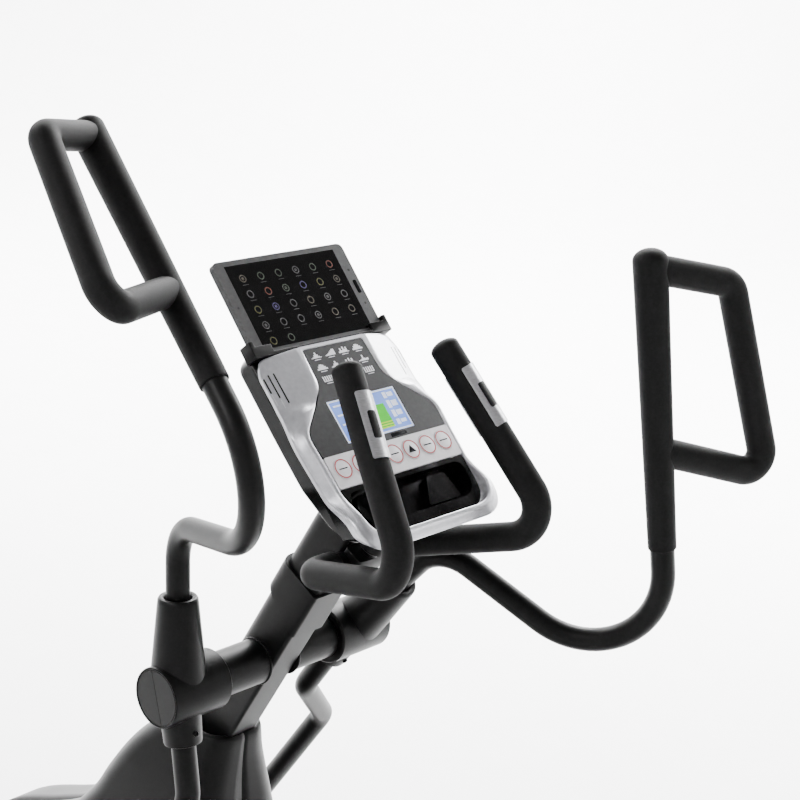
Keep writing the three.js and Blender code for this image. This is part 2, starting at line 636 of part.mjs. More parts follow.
function link(side) {
  const from = armEye(side);
  const to = bracketEye(side);
  const run = new THREE.Vector2(to.y - from.y, to.z - from.z);
  const heading = run.angle();
  const bar = new THREE.Shape();
  bar.absarc(from.y, from.z, 22, heading + Math.PI / 2, heading + 1.5 * Math.PI);
  bar.absarc(to.y, to.z, 22, heading - Math.PI / 2, heading + Math.PI / 2);
  bar.closePath();
  const plate = slabX(bar, 180, 195, 0, 6);
  const bolt = discX(194, 202, 11, to.y, to.z, 6);
  const body = cut(join(plate, bolt), discX(170, 210, 8.4, from.y, from.z, 16));
  return side < 0 ? mirrored(body) : body;
}

function pedal(side) {
  const middle = pinY(side) - PEDAL.behind;
  const [y0, y1] = [middle - PEDAL.half, middle + PEDAL.half];
  const outline = softPolygon([
    [PEDAL.x0, y0, 40], [PEDAL.x1, y0, 40], [PEDAL.x1, y1, 55], [PEDAL.x0, y1, 40],
  ], 40);
  const hollow = softPolygon([
    [PEDAL.x0 + 5, y0 + 5, 37], [PEDAL.x1 - 5, y0 + 5, 37], [PEDAL.x1 - 5, y1 - 5, 52], [PEDAL.x0 + 5, y1 - 5, 37],
  ], 37);
  const tray = cut(
    slab(outline, PEDAL.deck - 10, PEDAL.deck + PEDAL.rim),
    slab(hollow, PEDAL.deck, PEDAL.deck + PEDAL.rim + 5));
  const top = (behind) => railMid(behind) + RAIL.height / 2 + 3;
  const saddle = slabX(polygon([
    [y0 + 30, PEDAL.deck - 5], [y0 + 30, top(PEDAL.behind + PEDAL.half - 30)],
    [y1 - 30, top(PEDAL.behind - PEDAL.half + 30)], [y1 - 30, PEDAL.deck - 5],
  ]), RAIL.x0 - 4, RAIL.x1 + 4);
  const body = join(tray, saddle);
  return side < 0 ? mirrored(body) : body;
}

function roller(side) {
  const body = wheelRing(130, 156, RAIL.rollerR, 6.4, pinY(side) - RAIL.length, RAIL.rollerZ, 24);
  return side < 0 ? mirrored(body) : body;
}

for (const [name, side] of [["left", -1], ["right", 1]]) {
  piece(`rail_${name}`, rail(side), BLACK_PAINT);
  piece(`pedal_${name}`, pedal(side), BLACK_PLASTIC);
  piece(`roller_${name}`, roller(side), BLACK_PLASTIC);
  piece(`link_${name}`, link(side), BLACK_PAINT);
}

// ---- console: face coordinates are u across, v up the face, w out of it ----
const BEZEL_RIGHT = [[119, -177, 38], [117, -110, 12], [121, -30, 14], [115, 20, 14], [115, 62, 8], [104, 81.5, 6]];
const WINDOW_RIGHT = [[104, -162, 34], [104.5, -60, 4], [106.5, -24, 12], [68, 12, 10], [52.5, 30, 8], [50, 77, 4]];

function bothSides(right) {
  const left = right.map(([u, v, ease]) => [-u, v, ease]).reverse();
  return softPolygon([...right, ...left], 6);
}

function consoleBezel() {
  const outline = bothSides(BEZEL_RIGHT);
  const full = common(slab(outline, -20, 0), slab(outline, -40, 0, 8));
  const raised = slabX(polygon([[-96, -1], [-142, 9], [-180, 9], [-180, -1]]), -130, 130);
  const lip = common(raised, slab(outline, -40, 10, 8));
  const window = slab(bothSides(WINDOW_RIGHT), -30, 30);
  const rightWing = boxFrom([0, 200], [12, 200], [0, 40]);
  rightWing.applyMatrix4(new THREE.Matrix4().makeRotationY(0.26).setPosition(58, 0, 0));
  const underLip = slabX(polygon([[-150, -25], [-178, -1], [-190, -1], [-190, -25]]), -130, 130);
  return cut(join(full, lip), window, underLip, rightWing, mirrored(rightWing)).applyMatrix4(PANEL_FRAME);
}

function consoleRearShell() {
  const right = [[107, -154, 34], [112, -60, 10], [112, 0, 10], [110, 88, 9], [94, 100, 9]];
  const inner = right.map(([u, v, ease]) => [u - WALL, v - Math.sign(v) * WALL, ease]);
  const outside = slab(bothSides(right), CONSOLE_BACK, -20 - GAP, 5);
  const squareTop = slab(bothSides(right), -34, -20 - GAP);
  const slope = (top, end) => slabX(polygon([[-95, -60], [-95, top], [-165, end], [-165, -60]]), -130, 130);
  const inside = cut(slab(bothSides(inner), CONSOLE_BACK + WALL, -31), slope(CONSOLE_BACK + WALL, -24));
  const mouth = slab(bothSides(inner.filter(([, v]) => v < 60)), -32, -10);
  const tabletRoom = boxFrom([-150, 150], [81.5, 150], [-28, 0]);
  const body = cut(join(outside, squareTop), slope(CONSOLE_BACK, -27));
  return cut(body, inside, mouth, tabletRoom).applyMatrix4(PANEL_FRAME);
}

function consolePanel() {
  const right = [[103, -54.6, 3], [105.5, -25, 11], [67.2, 11.4, 10], [51.8, 29.5, 8], [49.4, 76.5, 4]];
  const lcdHole = polygon([[-56, -46], [56, -46], [56, 9], [-56, 9]]);
  return cut(slab(bothSides(right), -6, -0.6), slab(lcdHole, -20, 20)).applyMatrix4(PANEL_FRAME);
}

const keyU = (i) => (i - (KEY.count - 1) / 2) * KEY.pitch;
const roundAt = (u, v, radius, low, high, sides = 20) =>
  rod(new THREE.Vector3(u, v, low), new THREE.Vector3(u, v, high), radius, radius, sides);

function consoleStrip() {
  const plate = slab(softPolygon([[-103, -95], [103, -95], [103, -55.2], [-103, -55.2]], 3), -6, 0.6);
  const holes = Array.from({ length: KEY.count }, (_, i) => roundAt(keyU(i), KEY.v, KEY.radius + 0.6, -20, 20, 12));
  return cut(plate, ...holes).applyMatrix4(PANEL_FRAME);
}

function consoleTray() {
  const across = (low, high, half, bottomEase, topEase) => softPolygon([
    [-half, low, bottomEase], [half, low, bottomEase], [half, high, topEase], [-half, high, topEase]], 10);
  const rim = across(-161.2, -95.6, 103, 33.5, 3);
  const recess = across(-145, -101, 96, 26, 14);
  const tub = across(-147.5, -98.5, 98.5, 27.5, 15);
  return cut(join(slab(rim, -6, -1.5), slab(tub, -26, -5)), slab(recess, -23.5, 10)).applyMatrix4(PANEL_FRAME);
}

function key(i) {
  return roundAt(keyU(i), KEY.v, KEY.radius, -5, 2.2, 12).applyMatrix4(PANEL_FRAME);
}

piece("console_rear_shell", consoleRearShell(), GLOSS_BLACK);
piece("console_bezel", consoleBezel(), SILVER);
piece("console_panel", consolePanel(), CHARCOAL);
piece("console_lcd", onPanel(polygon([[-55.5, -45.5], [55.5, -45.5], [55.5, 8.5], [-55.5, 8.5]]), -6, -1.4), LCD_BLUE);
piece("console_strip", consoleStrip(), SILVER);
piece("console_tray", consoleTray(), GLOSS_BLACK);
piece("console_board", onPanel(polygon([[-85, -88], [85, -88], [85, 60], [-85, 60]]), -40, -38.4), BOARD_GREEN);
for (let i = 0; i < KEY.count; i++) piece(`key_${i + 1}`, key(i), KEY_WHITE);

// ---- tablet and its ledge ----
function tabletLedge() {
  const back = -TABLET.thick - 0.4;
  const parts = [
    boxFrom([-104, 104], [-5, -GAP], [back - 5, 5]),
    boxFrom([-96, 96], [-5, 78], [back - 5, back]),
  ];
  for (const side of [-1, 1]) {
    const span = (a, b) => (side < 0 ? [-b, -a] : [a, b]);
    parts.push(boxFrom(span(82, 113), [-5, 9], [0.4, 5]));
    parts.push(boxFrom(span(TABLET.half + 0.4, 113), [-5, 16], [back - 5, 5]));
    parts.push(boxFrom(span(90, 113), [-5, -GAP], [back - 5, 5]));
  }
  return onTablet(join(...parts));
}

function tablet() {
  const { half, height, thick } = TABLET;
  const slate = softPolygon([[-half, 0], [half, 0], [half, height], [-half, height]], 8);
  return onTablet(slab(slate, -thick, 0, 1.5));
}

piece("tablet_ledge", tabletLedge(), BLACK_PLASTIC);
piece("tablet", tablet(), SCREEN);

export default machine;
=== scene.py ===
import json
import math

import bmesh
import bpy
from mathutils import Matrix, Vector
from mathutils.geometry import tessellate_polygon


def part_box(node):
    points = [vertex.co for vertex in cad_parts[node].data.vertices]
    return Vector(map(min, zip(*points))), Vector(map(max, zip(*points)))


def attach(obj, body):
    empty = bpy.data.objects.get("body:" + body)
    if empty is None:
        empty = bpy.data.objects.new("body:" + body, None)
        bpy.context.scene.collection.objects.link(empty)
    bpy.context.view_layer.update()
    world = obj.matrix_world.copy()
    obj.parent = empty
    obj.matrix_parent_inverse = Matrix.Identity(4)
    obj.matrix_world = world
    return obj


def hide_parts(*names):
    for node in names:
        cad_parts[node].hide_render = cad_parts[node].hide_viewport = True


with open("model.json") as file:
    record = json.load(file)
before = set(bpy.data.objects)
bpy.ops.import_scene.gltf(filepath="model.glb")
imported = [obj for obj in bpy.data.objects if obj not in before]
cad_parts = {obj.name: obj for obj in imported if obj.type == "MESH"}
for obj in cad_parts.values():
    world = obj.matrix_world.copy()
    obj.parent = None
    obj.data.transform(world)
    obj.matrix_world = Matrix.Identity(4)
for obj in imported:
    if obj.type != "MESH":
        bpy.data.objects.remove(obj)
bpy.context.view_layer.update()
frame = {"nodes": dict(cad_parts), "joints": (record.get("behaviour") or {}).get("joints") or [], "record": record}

# Shapes are drawn in millimetres and scaled as they become meshes.
MM = 0.001
SIDES = (("left", -1), ("right", 1))
joints = {joint["name"]: joint for joint in frame["joints"]}
bodies = frame["record"]["behaviour"]["bodies"]


def box_mm(node):
    low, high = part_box(node)
    return low / MM, high / MM


def body_of(node):
    return next(name for name, members in bodies.items() if node in members)


# ---- driving dimensions ----
PIVOT = Vector(joints["right_arm_swing"]["pos_m"]) / MM
PIVOT.x = 0.0
SWING = math.radians(joints["left_arm_swing"]["range_deg"][1] / 2)
ARM_X = 150.0
SOCKET_LEAN = math.radians(14.3)
LOWER_LEAN = math.radians(7.0)
LOWER_X = 270.0
ARM_REACH = 630.0
TUBE_R = 14.5
LOWER_R = 15.0
FOAM_FROM = 0.394
# Points of the upper arm at mid swing: outward, forward and up from the pivot.
POST_FOOT = (266, -381.6, 180.1)
POST_TOP = (200, -74.4, 659.5)
LOOP_HIGH = (303, -128.2, 653.5)
LOOP_LOW = (369, -271.7, 460.9)

MAST_LEAN = math.radians(24.7)
MAST_UP = Vector((0, -math.sin(MAST_LEAN), math.cos(MAST_LEAN)))
MAST_FORWARD = Vector((0, math.cos(MAST_LEAN), math.sin(MAST_LEAN)))
MAST_FOOT = -550.0
CONSOLE_BACK = -48.3

BAR_R = 13.0
BAR_FOAM_R = 17.5
# Corners of the fixed handlebar, outward, forward and up: its tip, its lower bend and its turn to the clamp.
BAR_TIP = (82, 203, 1459)
BAR_BEND = (128, 36, 1280)
BAR_TURN = (79, 224, 1205)
PULSE_LENGTH = 78
PULSE_HALF_ANGLE = 0.7

KEY_V = -73.0
KEY_COUNT = 7
KEY_PROUD = 2.2
KEY_DEEP = 5.0
ARROW_KEY = 5

TABLET_LEAN = math.radians(46.8)
TABLET_HALF = 106.0
TABLET_HEIGHT = 121.0
TABLET_THICK = 8.0
# From the low corner of the tablet's box to its lower front edge.
TABLET_EDGE = Vector((0, -1.1, 4.8))

CAMERA_LENS = 82.8
CAMERA_SENSOR = 36.0
CAMERA_PLACE = Vector((-1.4985, -1.0489, 2.1209))
CAMERA_VIEW = Vector((0.7241, 0.5996, -0.3410))
CAMERA_RIGHT = Vector((0.6678, -0.7330, 0.1292))

LIGHT_AIM = (0, 0.2, 1.2)
FLOOR_LIGHTS = ((3.2, 2.4), (5.0, 0.4), (1.2, 5.0), (5.6, 4.4))
FLOOR_LIGHT_HEIGHT = 3.4


# ---- materials ----
class Look:
    """A node material in the making: a base colour broken up by noise, with a fine bump."""

    def __init__(self, name, roughness, metallic=0.0, coat=0.0):
        self.material = bpy.data.materials.new(name)
        self.material.use_nodes = True
        self.nodes = self.material.node_tree.nodes
        self.links = self.material.node_tree.links
        self.shader = self.nodes["Principled BSDF"]
        self.shader.inputs["Roughness"].default_value = roughness
        self.shader.inputs["Metallic"].default_value = metallic
        self.shader.inputs["Coat Weight"].default_value = coat
        self.shader.inputs["Coat Roughness"].default_value = 0.12
        self.place = self.nodes.new("ShaderNodeTexCoord").outputs["Object"]

    def noise(self, scale, stretch=(1, 1, 1), detail=3.0):
        mapping = self.nodes.new("ShaderNodeMapping")
        mapping.inputs["Scale"].default_value = stretch
        self.links.new(self.place, mapping.inputs["Vector"])
        texture = self.nodes.new("ShaderNodeTexNoise")
        texture.inputs["Scale"].default_value = scale
        texture.inputs["Detail"].default_value = detail
        self.links.new(mapping.outputs["Vector"], texture.inputs["Vector"])
        return texture.outputs["Fac"]

    def colour(self, dark, light, scale, stretch=(1, 1, 1)):
        ramp = self.nodes.new("ShaderNodeValToRGB")
        ramp.color_ramp.elements[0].position = 0.3
        ramp.color_ramp.elements[0].color = (*dark, 1)
        ramp.color_ramp.elements[1].position = 0.7
        ramp.color_ramp.elements[1].color = (*light, 1)
        self.links.new(self.noise(scale, stretch), ramp.inputs["Fac"])
        self.links.new(ramp.outputs["Color"], self.shader.inputs["Base Color"])
        return ramp

    def wear(self, low, high, scale, stretch=(1, 1, 1)):
        spread = self.nodes.new("ShaderNodeMapRange")
        spread.inputs["To Min"].default_value = low
        spread.inputs["To Max"].default_value = high
        self.links.new(self.noise(scale, stretch), spread.inputs["Value"])
        self.links.new(spread.outputs["Result"], self.shader.inputs["Roughness"])

    def bump(self, scale, strength, stretch=(1, 1, 1), depth=0.0004):
        relief = self.nodes.new("ShaderNodeBump")
        relief.inputs["Strength"].default_value = strength
        relief.inputs["Distance"].default_value = depth
        self.links.new(self.noise(scale, stretch, 2.0), relief.inputs["Height"])
        self.links.new(relief.outputs["Normal"], self.shader.inputs["Normal"])


def grey(value):
    return (value, value, value * 1.04)


def simple_look(name, dark, light, rough, metallic=0.0, coat=0.0, grain=400, bump=0.1,
                stretch=(1, 1, 1)):
    look = Look(name, rough[0], metallic, coat)
    look.colour(dark, light, grain * 0.2, stretch)
    look.wear(rough[0], rough[1], grain * 0.5, stretch)
    look.bump(grain, bump, stretch)
    return look


def glowing_look(name, low, high, strength):
    """A smooth look that also shines a little in its own colour."""
    look = Look(name, 0.2)
    ramp = look.colour(low, high, 16)
    look.wear(0.2, 0.26, 150)
    look.bump(300, 0.02)
    look.links.new(ramp.outputs["Color"], look.shader.inputs["Emission Color"])
    look.shader.inputs["Emission Strength"].default_value = strength
    return look


def dark_look(name, low, high, rough, specular, coat=0.0, grain=1400, bump=0.08):
    look = simple_look(name, grey(low), grey(high), rough, coat=coat, grain=grain, bump=bump)
    look.shader.inputs["Specular IOR Level"].default_value = specular
    return look


paint = dark_look("paint_black", 0.0022, 0.0036, (0.36, 0.44), 0.1).material
plastic = dark_look("plastic_black", 0.0024, 0.0038, (0.36, 0.46), 0.1, grain=1800, bump=0.14).material
gloss = dark_look("gloss_black", 0.0015, 0.003, (0.14, 0.2), 0.2, grain=90, bump=0.01).material
foam = dark_look("foam_black", 0.0032, 0.0052, (0.6, 0.74), 0.1, grain=1500, bump=0.35).material
silver = simple_look("silver_paint", (0.5, 0.5, 0.53), (0.58, 0.58, 0.61), (0.28, 0.36), 0.6, 0.2,
                     grain=900, bump=0.03).material
charcoal = dark_look("charcoal_print", 0.03, 0.037, (0.32, 0.4), 0.15, grain=1000, bump=0.04).material
pale_print = simple_look("pale_print", grey(0.66), grey(0.75), (0.35, 0.45), grain=800, bump=0.03).material
key_white = simple_look("key_white", (0.62, 0.6, 0.62), (0.7, 0.68, 0.7), (0.3, 0.4),
                        grain=700, bump=0.03).material
red_print = simple_look("red_print", (0.3, 0.008, 0.012), (0.4, 0.014, 0.02), (0.4, 0.5),
                        grain=600, bump=0.02).material
steel = simple_look("brushed_steel", grey(0.34), grey(0.5), (0.24, 0.36), 0.9, 0, 900, 0.1, (1, 1, 12)).material
cast_iron = simple_look("cast_iron", grey(0.06), grey(0.1), (0.45, 0.6), 0.7, 0, 300, 0.4).material
deep_black = dark_look("deep_black", 0.0015, 0.0025, (0.4, 0.5), 0.15, grain=900, bump=0.05).material
rubber = simple_look("rubber_black", grey(0.01), grey(0.016), (0.75, 0.9), grain=700, bump=0.3).material
board_green = simple_look("board_green", (0.01, 0.08, 0.03), (0.02, 0.13, 0.05), (0.4, 0.5),
                          grain=200, bump=0.1).material
slate = dark_look("tablet_slate", 0.03, 0.04, (0.34, 0.42), 0.2, grain=900, bump=0.05).material
glass = dark_look("screen_glass", 0.0015, 0.003, (0.1, 0.16), 0.12, grain=40, bump=0.005).material
lcd_blue = glowing_look("lcd_blue", (0.1, 0.2, 0.62), (0.2, 0.32, 0.75), 0.55).material
lcd_green = glowing_look("lcd_green", (0.02, 0.42, 0.01), (0.05, 0.55, 0.02), 0.5).material
lcd_lime = glowing_look("lcd_lime", (0.35, 0.6, 0.02), (0.45, 0.7, 0.03), 0.5).material
lcd_white = glowing_look("lcd_white", (0.6, 0.68, 0.9), (0.75, 0.8, 0.95), 0.5).material
ICON_TINTS = {
    "icon_sand": (0.032, 0.028, 0.02),
    "icon_green": (0.02, 0.028, 0.018),
    "icon_grey": (0.03, 0.03, 0.03),
    "icon_rust": (0.07, 0.02, 0.012),
    "icon_violet": (0.025, 0.02, 0.06),
    "icon_olive": (0.035, 0.035, 0.01),
}
icon_looks = {
    name: glowing_look(name, tint, tuple(1.3 * c for c in tint), 0.0).material
    for name, tint in ICON_TINTS.items()
}


# ---- mesh helpers: each returns (points, faces) ----
def lathe(profile, sides=72):
    """Turned about Z; profile is [(radius, z)] from one end to the other."""
    points, rings = [], []
    for radius, z in profile:
        if radius < 1e-6:
            rings.append([len(points)])
            points.append(Vector((0, 0, z)))
            continue
        rings.append(list(range(len(points), len(points) + sides)))
        for k in range(sides):
            a = 2 * math.pi * k / sides
            points.append(Vector((radius * math.cos(a), radius * math.sin(a), z)))
    return points, bridge(rings)


def bridge(rings):
    """Faces between neighbouring closed rings; a ring of one point is a pole, and open ends are capped."""
    faces = []
    for lower, upper in zip(rings, rings[1:]):
        count = max(len(lower), len(upper))
        for k in range(count):
            n = (k + 1) % count
            if len(lower) == 1:
                faces.append((lower[0], upper[n], upper[k]))
            elif len(upper) == 1:
                faces.append((lower[k], lower[n], upper[0]))
            else:
                faces.append((lower[k], lower[n], upper[n], upper[k]))
    for ring in (rings[0], rings[-1]):
        if len(ring) > 2:
            faces.append(tuple(ring))
    return faces


def bent_path(corners, radii, step=math.radians(5)):
    """A path through the corners, each inner one rounded to its own radius."""
    path = [corners[0].copy()]
    for before, here, after, radius in zip(corners, corners[1:], corners[2:], radii):
        back = (before - here).normalized()
        ahead = (after - here).normalized()
        opening = back.angle(ahead)
        tangent = radius / math.tan(opening / 2)
        centre = here + (back + ahead).normalized() * radius / math.sin(opening / 2)
        start = here + back * tangent - centre
        end = here + ahead * tangent - centre
        turn = math.pi - opening
        steps = max(4, math.ceil(turn / step))
        for k in range(steps + 1):
            a = math.sin(turn * (1 - k / steps)) / math.sin(turn)
            b = math.sin(turn * k / steps) / math.sin(turn)
            path.append(centre + start * a + end * b)
    path.append(corners[-1].copy())
    return path


def domed(path, radii, start, end, flat=1.0, steps=8):
    """Adds a rounded end of the same radius to either end of a path; flat < 1 makes the dome shallower."""
    path, radii = list(path), list(radii)
    for at_start in (True, False):
        if not (start if at_start else end):
            continue
        tip, inward = (path[0], path[1]) if at_start else (path[-1], path[-2])
        out = (tip - inward).normalized()
        radius = radii[0] if at_start else radii[-1]
        for k in range(1, steps + 1):
            a = math.pi / 2 * k / steps
            point = tip + out * radius * flat * math.sin(a)
            size = radius * math.cos(a) if k < steps else 0.0
            if at_start:
                path.insert(0, point)
                radii.insert(0, size)
            else:
                path.append(point)
                radii.append(size)
    return path, radii


def sweep(path, radii, sides=48):
    """A round tube along a path, its rings carried along without twist."""
    heading = [(b - a).normalized() for a, b in zip(path, path[1:])]
    tangents = [heading[0]] + [(a + b).normalized() for a, b in zip(heading, heading[1:])] + [heading[-1]]
    across = tangents[0].orthogonal().normalized()
    points, rings = [], []
    for i, (centre, radius, tangent) in enumerate(zip(path, radii, tangents)):
        if i:
            across = tangents[i - 1].rotation_difference(tangent) @ across
        other = tangent.cross(across)
        if radius < 1e-6:
            rings.append([len(points)])
            points.append(centre.copy())
            continue
        rings.append(list(range(len(points), len(points) + sides)))
        for k in range(sides):
            a = 2 * math.pi * k / sides
            points.append(centre + (across * math.cos(a) + other * math.sin(a)) * radius)
    return points, bridge(rings)


def tube(corners, bends, radius, start=False, end=False, flat=1.0):
    path = bent_path(corners, bends) if bends else list(corners)
    return sweep(*domed(path, [radius] * len(path), start, end, flat))


def eased(corners, default, steps=8):
    """A closed outline with each corner eased by a curve leaving the sides that far from the corner."""
    outline = []
    count = len(corners)
    for i, corner in enumerate(corners):
        here = Vector(corner[:2])
        reach = corner[2] if len(corner) > 2 else default
        back = (Vector(corners[i - 1][:2]) - here).normalized()
        ahead = (Vector(corners[(i + 1) % count][:2]) - here).normalized()
        enter, leave = here + back * reach, here + ahead * reach
        for k in range(steps + 1):
            t = k / steps
            outline.append(enter * (1 - t) ** 2 + here * 2 * t * (1 - t) + leave * t ** 2)
    return outline


def mirrored_outline(right, default=6):
    left = [(-u, *rest) for u, *rest in reversed(right)]
    return eased([*right, *left], default)


def circle(u, v, radius, sides=40):
    turn = [2 * math.pi * k / sides for k in range(sides)]
    return [Vector((u + radius * math.cos(a), v + radius * math.sin(a))) for a in turn]


def rectangle(u0, u1, v0, v1):
    return [Vector((u0, v0)), Vector((u1, v0)), Vector((u1, v1)), Vector((u0, v1))]


def prism(loops, low, high):
    """The first loop raised from low to high, with the other loops as holes through it."""
    flat = [point for loop in loops for point in loop]
    points = [Vector((*p, low)) for p in flat] + [Vector((*p, high)) for p in flat]
    lift = len(flat)
    if len(loops) == 1:
        caps = [tuple(range(lift))]
    else:
        caps = tessellate_polygon([[Vector((*p, 0)) for p in loop] for loop in loops])
    faces = [tuple(cap) for cap in caps] + [tuple(i + lift for i in cap) for cap in caps]
    start = 0
    for loop in loops:
        for k in range(len(loop)):
            a, b = start + k, start + (k + 1) % len(loop)
            faces.append((a, b, b + lift, a + lift))
        start += len(loop)
    return points, faces


class Piece:
    """One visible part, built up from shapes that may each have their own material."""

    def __init__(self, name, *looks):
        self.name = name
        self.looks = looks
        self.points, self.faces, self.slots = [], [], []

    def add(self, shape, place=None, look=0):
        points, faces = shape
        start = len(self.points)
        self.points += [(place @ p if place else p) for p in points]
        self.faces += [tuple(i + start for i in face) for face in faces]
        self.slots += [look] * len(faces)
        return self

    def finish(self, slot, *nodes, bevel=0.0, sharp=40):
        """Makes the object, which takes the place of the CAD nodes given and moves with them."""
        mesh = bpy.data.meshes.new(self.name)
        mesh.from_pydata([p * MM for p in self.points], [], self.faces)
        for look in self.looks:
            mesh.materials.append(look)
        mesh.polygons.foreach_set("material_index", self.slots)
        tidy = bmesh.new()
        tidy.from_mesh(mesh)
        bmesh.ops.recalc_face_normals(tidy, faces=tidy.faces)
        tidy.to_mesh(mesh)
        tidy.free()
        obj = bpy.data.objects.new(self.name, mesh)
        bpy.context.scene.collection.objects.link(obj)
        smooth(obj, sharp)
        if bevel:
            round_edges(obj, bevel)
        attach(obj, body_of(nodes[0]))
        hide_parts(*nodes)
        return obj


def smooth(obj, sharp=40):
    obj.data.polygons.foreach_set("use_smooth", [True] * len(obj.data.polygons))
    obj.data.set_sharp_from_angle(angle=math.radians(sharp))


def round_edges(obj, width, segments=3):
    bevel = obj.modifiers.new("rounded_edges", "BEVEL")
    bevel.width = width * MM
    bevel.segments = segments
    bevel.limit_method = "ANGLE"
    bevel.angle_limit = math.radians(38)
    bevel.harden_normals = True
    obj.data.polygons.foreach_set("use_smooth", [True] * len(obj.data.polygons))


def keep(node, look, width=0.8):
    """A CAD node shown as it is, with its edges eased and its own material."""
    obj = frame["nodes"][node]
    weld = obj.modifiers.new("weld", "WELD")
    weld.merge_threshold = 0.00002
    flat = obj.modifiers.new("flat_faces", "DECIMATE")
    flat.decimate_type = "DISSOLVE"
    flat.angle_limit = math.radians(0.6)
    obj.data.normals_split_custom_set([(0, 0, 0)] * len(obj.data.loops))
    round_edges(obj, width, 2)
    obj.data.materials.clear()
    obj.data.materials.append(look)


# ---- frames of the leaning parts, in millimetres ----
def axes(origin, right, up, out):
    place = Matrix((right, up, out)).transposed().to_4x4()
    place.translation = origin
    return place


def towards(origin, direction):
    """A frame whose Z runs along the direction."""
    place = direction.normalized().to_track_quat("Z", "Y").to_matrix().to_4x4()
    place.translation = origin
    return place


def leaning(lean):
    across = Vector((1, 0, 0))
    up = Vector((0, math.sin(lean), math.cos(lean)))
    out = Vector((0, -math.cos(lean), math.sin(lean)))
    return across, up, out


def panel_frame():
    """Set by the middle key, KEY_V up the panel, from KEY_DEEP under its face to KEY_PROUD above it."""
    pressed = Vector(joints["key_4_press"]["axis"])
    out = -pressed.normalized()
    up = Vector((0, out.z, -out.y))
    low, high = box_mm("key_4")
    middle = (low + high) / 2
    origin = middle - up * KEY_V + out * (KEY_DEEP - KEY_PROUD) / 2
    return axes(origin, Vector((1, 0, 0)), up, out)


def tablet_frame():
    across, up, out = leaning(TABLET_LEAN)
    low, _ = box_mm("tablet")
    return axes(Vector((0, low.y, low.z)) + TABLET_EDGE, across, up, out)


PANEL = panel_frame()
TABLET = tablet_frame()
PANEL_OUT = PANEL.to_3x3() @ Vector((0, 0, 1))
MAST = axes(PIVOT, Vector((1, 0, 0)), MAST_FORWARD, MAST_UP)


# ---- swinging arms, drawn at mid swing and turned to where they rest ----
def from_pivot(side, x, y, z):
    return PIVOT + Vector((side * x, y, z))


def up_arm(side, x, reach):
    return from_pivot(side, x, -math.sin(SOCKET_LEAN) * reach, math.cos(SOCKET_LEAN) * reach)


def down_arm(side, x, reach):
    return from_pivot(side, x, math.sin(LOWER_LEAN) * reach, -math.cos(LOWER_LEAN) * reach)


def swung(side):
    there = Matrix.Translation(PIVOT)
    return there @ Matrix.Rotation(side * SWING, 4, "X") @ there.inverted()


def post(side, fraction):
    """A point on the straight upper post, from its bend at 0 to its top at 1."""
    return from_pivot(side, *POST_FOOT).lerp(from_pivot(side, *POST_TOP), fraction)


def sideways(side, x, y, z):
    """A frame at (x, y, z) on that side whose Z points outward along X."""
    return towards(Vector((side * x, y, z)), Vector((side, 0, 0)))


def build_arm_lower(name, side):
    piece = Piece(f"lower_arm_{name}", paint)
    turn = swung(side)
    corners = [down_arm(side, ARM_X, 30), down_arm(side, ARM_X, 140), down_arm(side, LOWER_X, 272)]
    corners.append(down_arm(side, LOWER_X, ARM_REACH))
    piece.add(tube(corners, [42, 42], LOWER_R), turn)
    eye = down_arm(side, 0, ARM_REACH)
    boss = [(0, 0), (19, 0), (20, 1), (20, 91.4), (19, 92.4), (0, 92.4)]
    piece.add(lathe(boss), turn @ sideways(side, 195.6, eye.y, eye.z))
    piece.add(lathe([(0, 0), (8, 0), (8, 22), (0, 22)]), turn @ sideways(side, 178, eye.y, eye.z))
    piece.add(lathe([(0, 0), (24, 0), (24, 75), (0, 75)]), turn @ sideways(side, 99.5, PIVOT.y, PIVOT.z))
    piece.finish("black_paint", f"arm_lower_{name}")


def build_arm_cover(name, side):
    """The tee-shaped plastic shell over the pivot: barrel, upper cone and lower collar."""
    piece = Piece(f"pivot_cover_{name}", plastic, deep_black)
    turn = swung(side)
    barrel = [(28.8, 0.5), (35.5, 0), (37.5, 2), (37.5, 86.5), (36.9, 88.4), (35.6, 89), (34.6, 88.4),
              (34.2, 88), (34.2, 87.6), (0, 87.6)]
    piece.add(lathe(barrel, 96), turn @ sideways(side, 96, PIVOT.y, PIVOT.z))
    lid = axes(Vector((side * 96, PIVOT.y, PIVOT.z)), Vector((0, side, 0)), Vector((0, 0, 1)),
               Vector((side, 0, 0)))
    for half in (-1, 1):
        arc = [math.radians(180 * k / 40) for k in range(41)]
        cap = [Vector((half * (0.4 + 33.0 * math.sin(a)), 33.4 * math.cos(a))) for a in arc]
        piece.add(prism([cap], 87.5, 88.3), turn @ lid, 1)
    up = up_arm(side, 0, 1) - up_arm(side, 0, 0)
    cone = [(0, 6), (33.4, 8), (33.4, 20), (24.7, 112), (24.2, 116), (22.6, 118.4), (20.2, 119), (17.6, 118),
            (16.2, 115.5), (15.4, 112), (0, 112)]
    piece.add(lathe(cone, 96), turn @ towards(up_arm(side, ARM_X, 0), up))
    down = down_arm(side, 0, 1) - down_arm(side, 0, 0)
    collar = [(0, 6), (25.6, 8), (25.5, 20), (23.4, 62), (22.6, 65), (20.6, 66), (16.6, 66), (15.4, 64),
              (0, 64)]
    piece.add(lathe(collar, 96), turn @ towards(down_arm(side, ARM_X, 0), down))
    bolt = [(0, 0), (2.6, 0), (3.4, 0.6), (3.4, 3.6), (2.8, 4.2), (2.6, 2.4), (0, 2.4)]
    bolt_place = down_arm(side, ARM_X, 51) + Vector((0, -21.8, -2))
    piece.add(lathe(bolt, 32), turn @ towards(bolt_place, Vector((0, -1, 0))), 1)
    piece.finish("black_plastic", f"arm_cover_{name}")


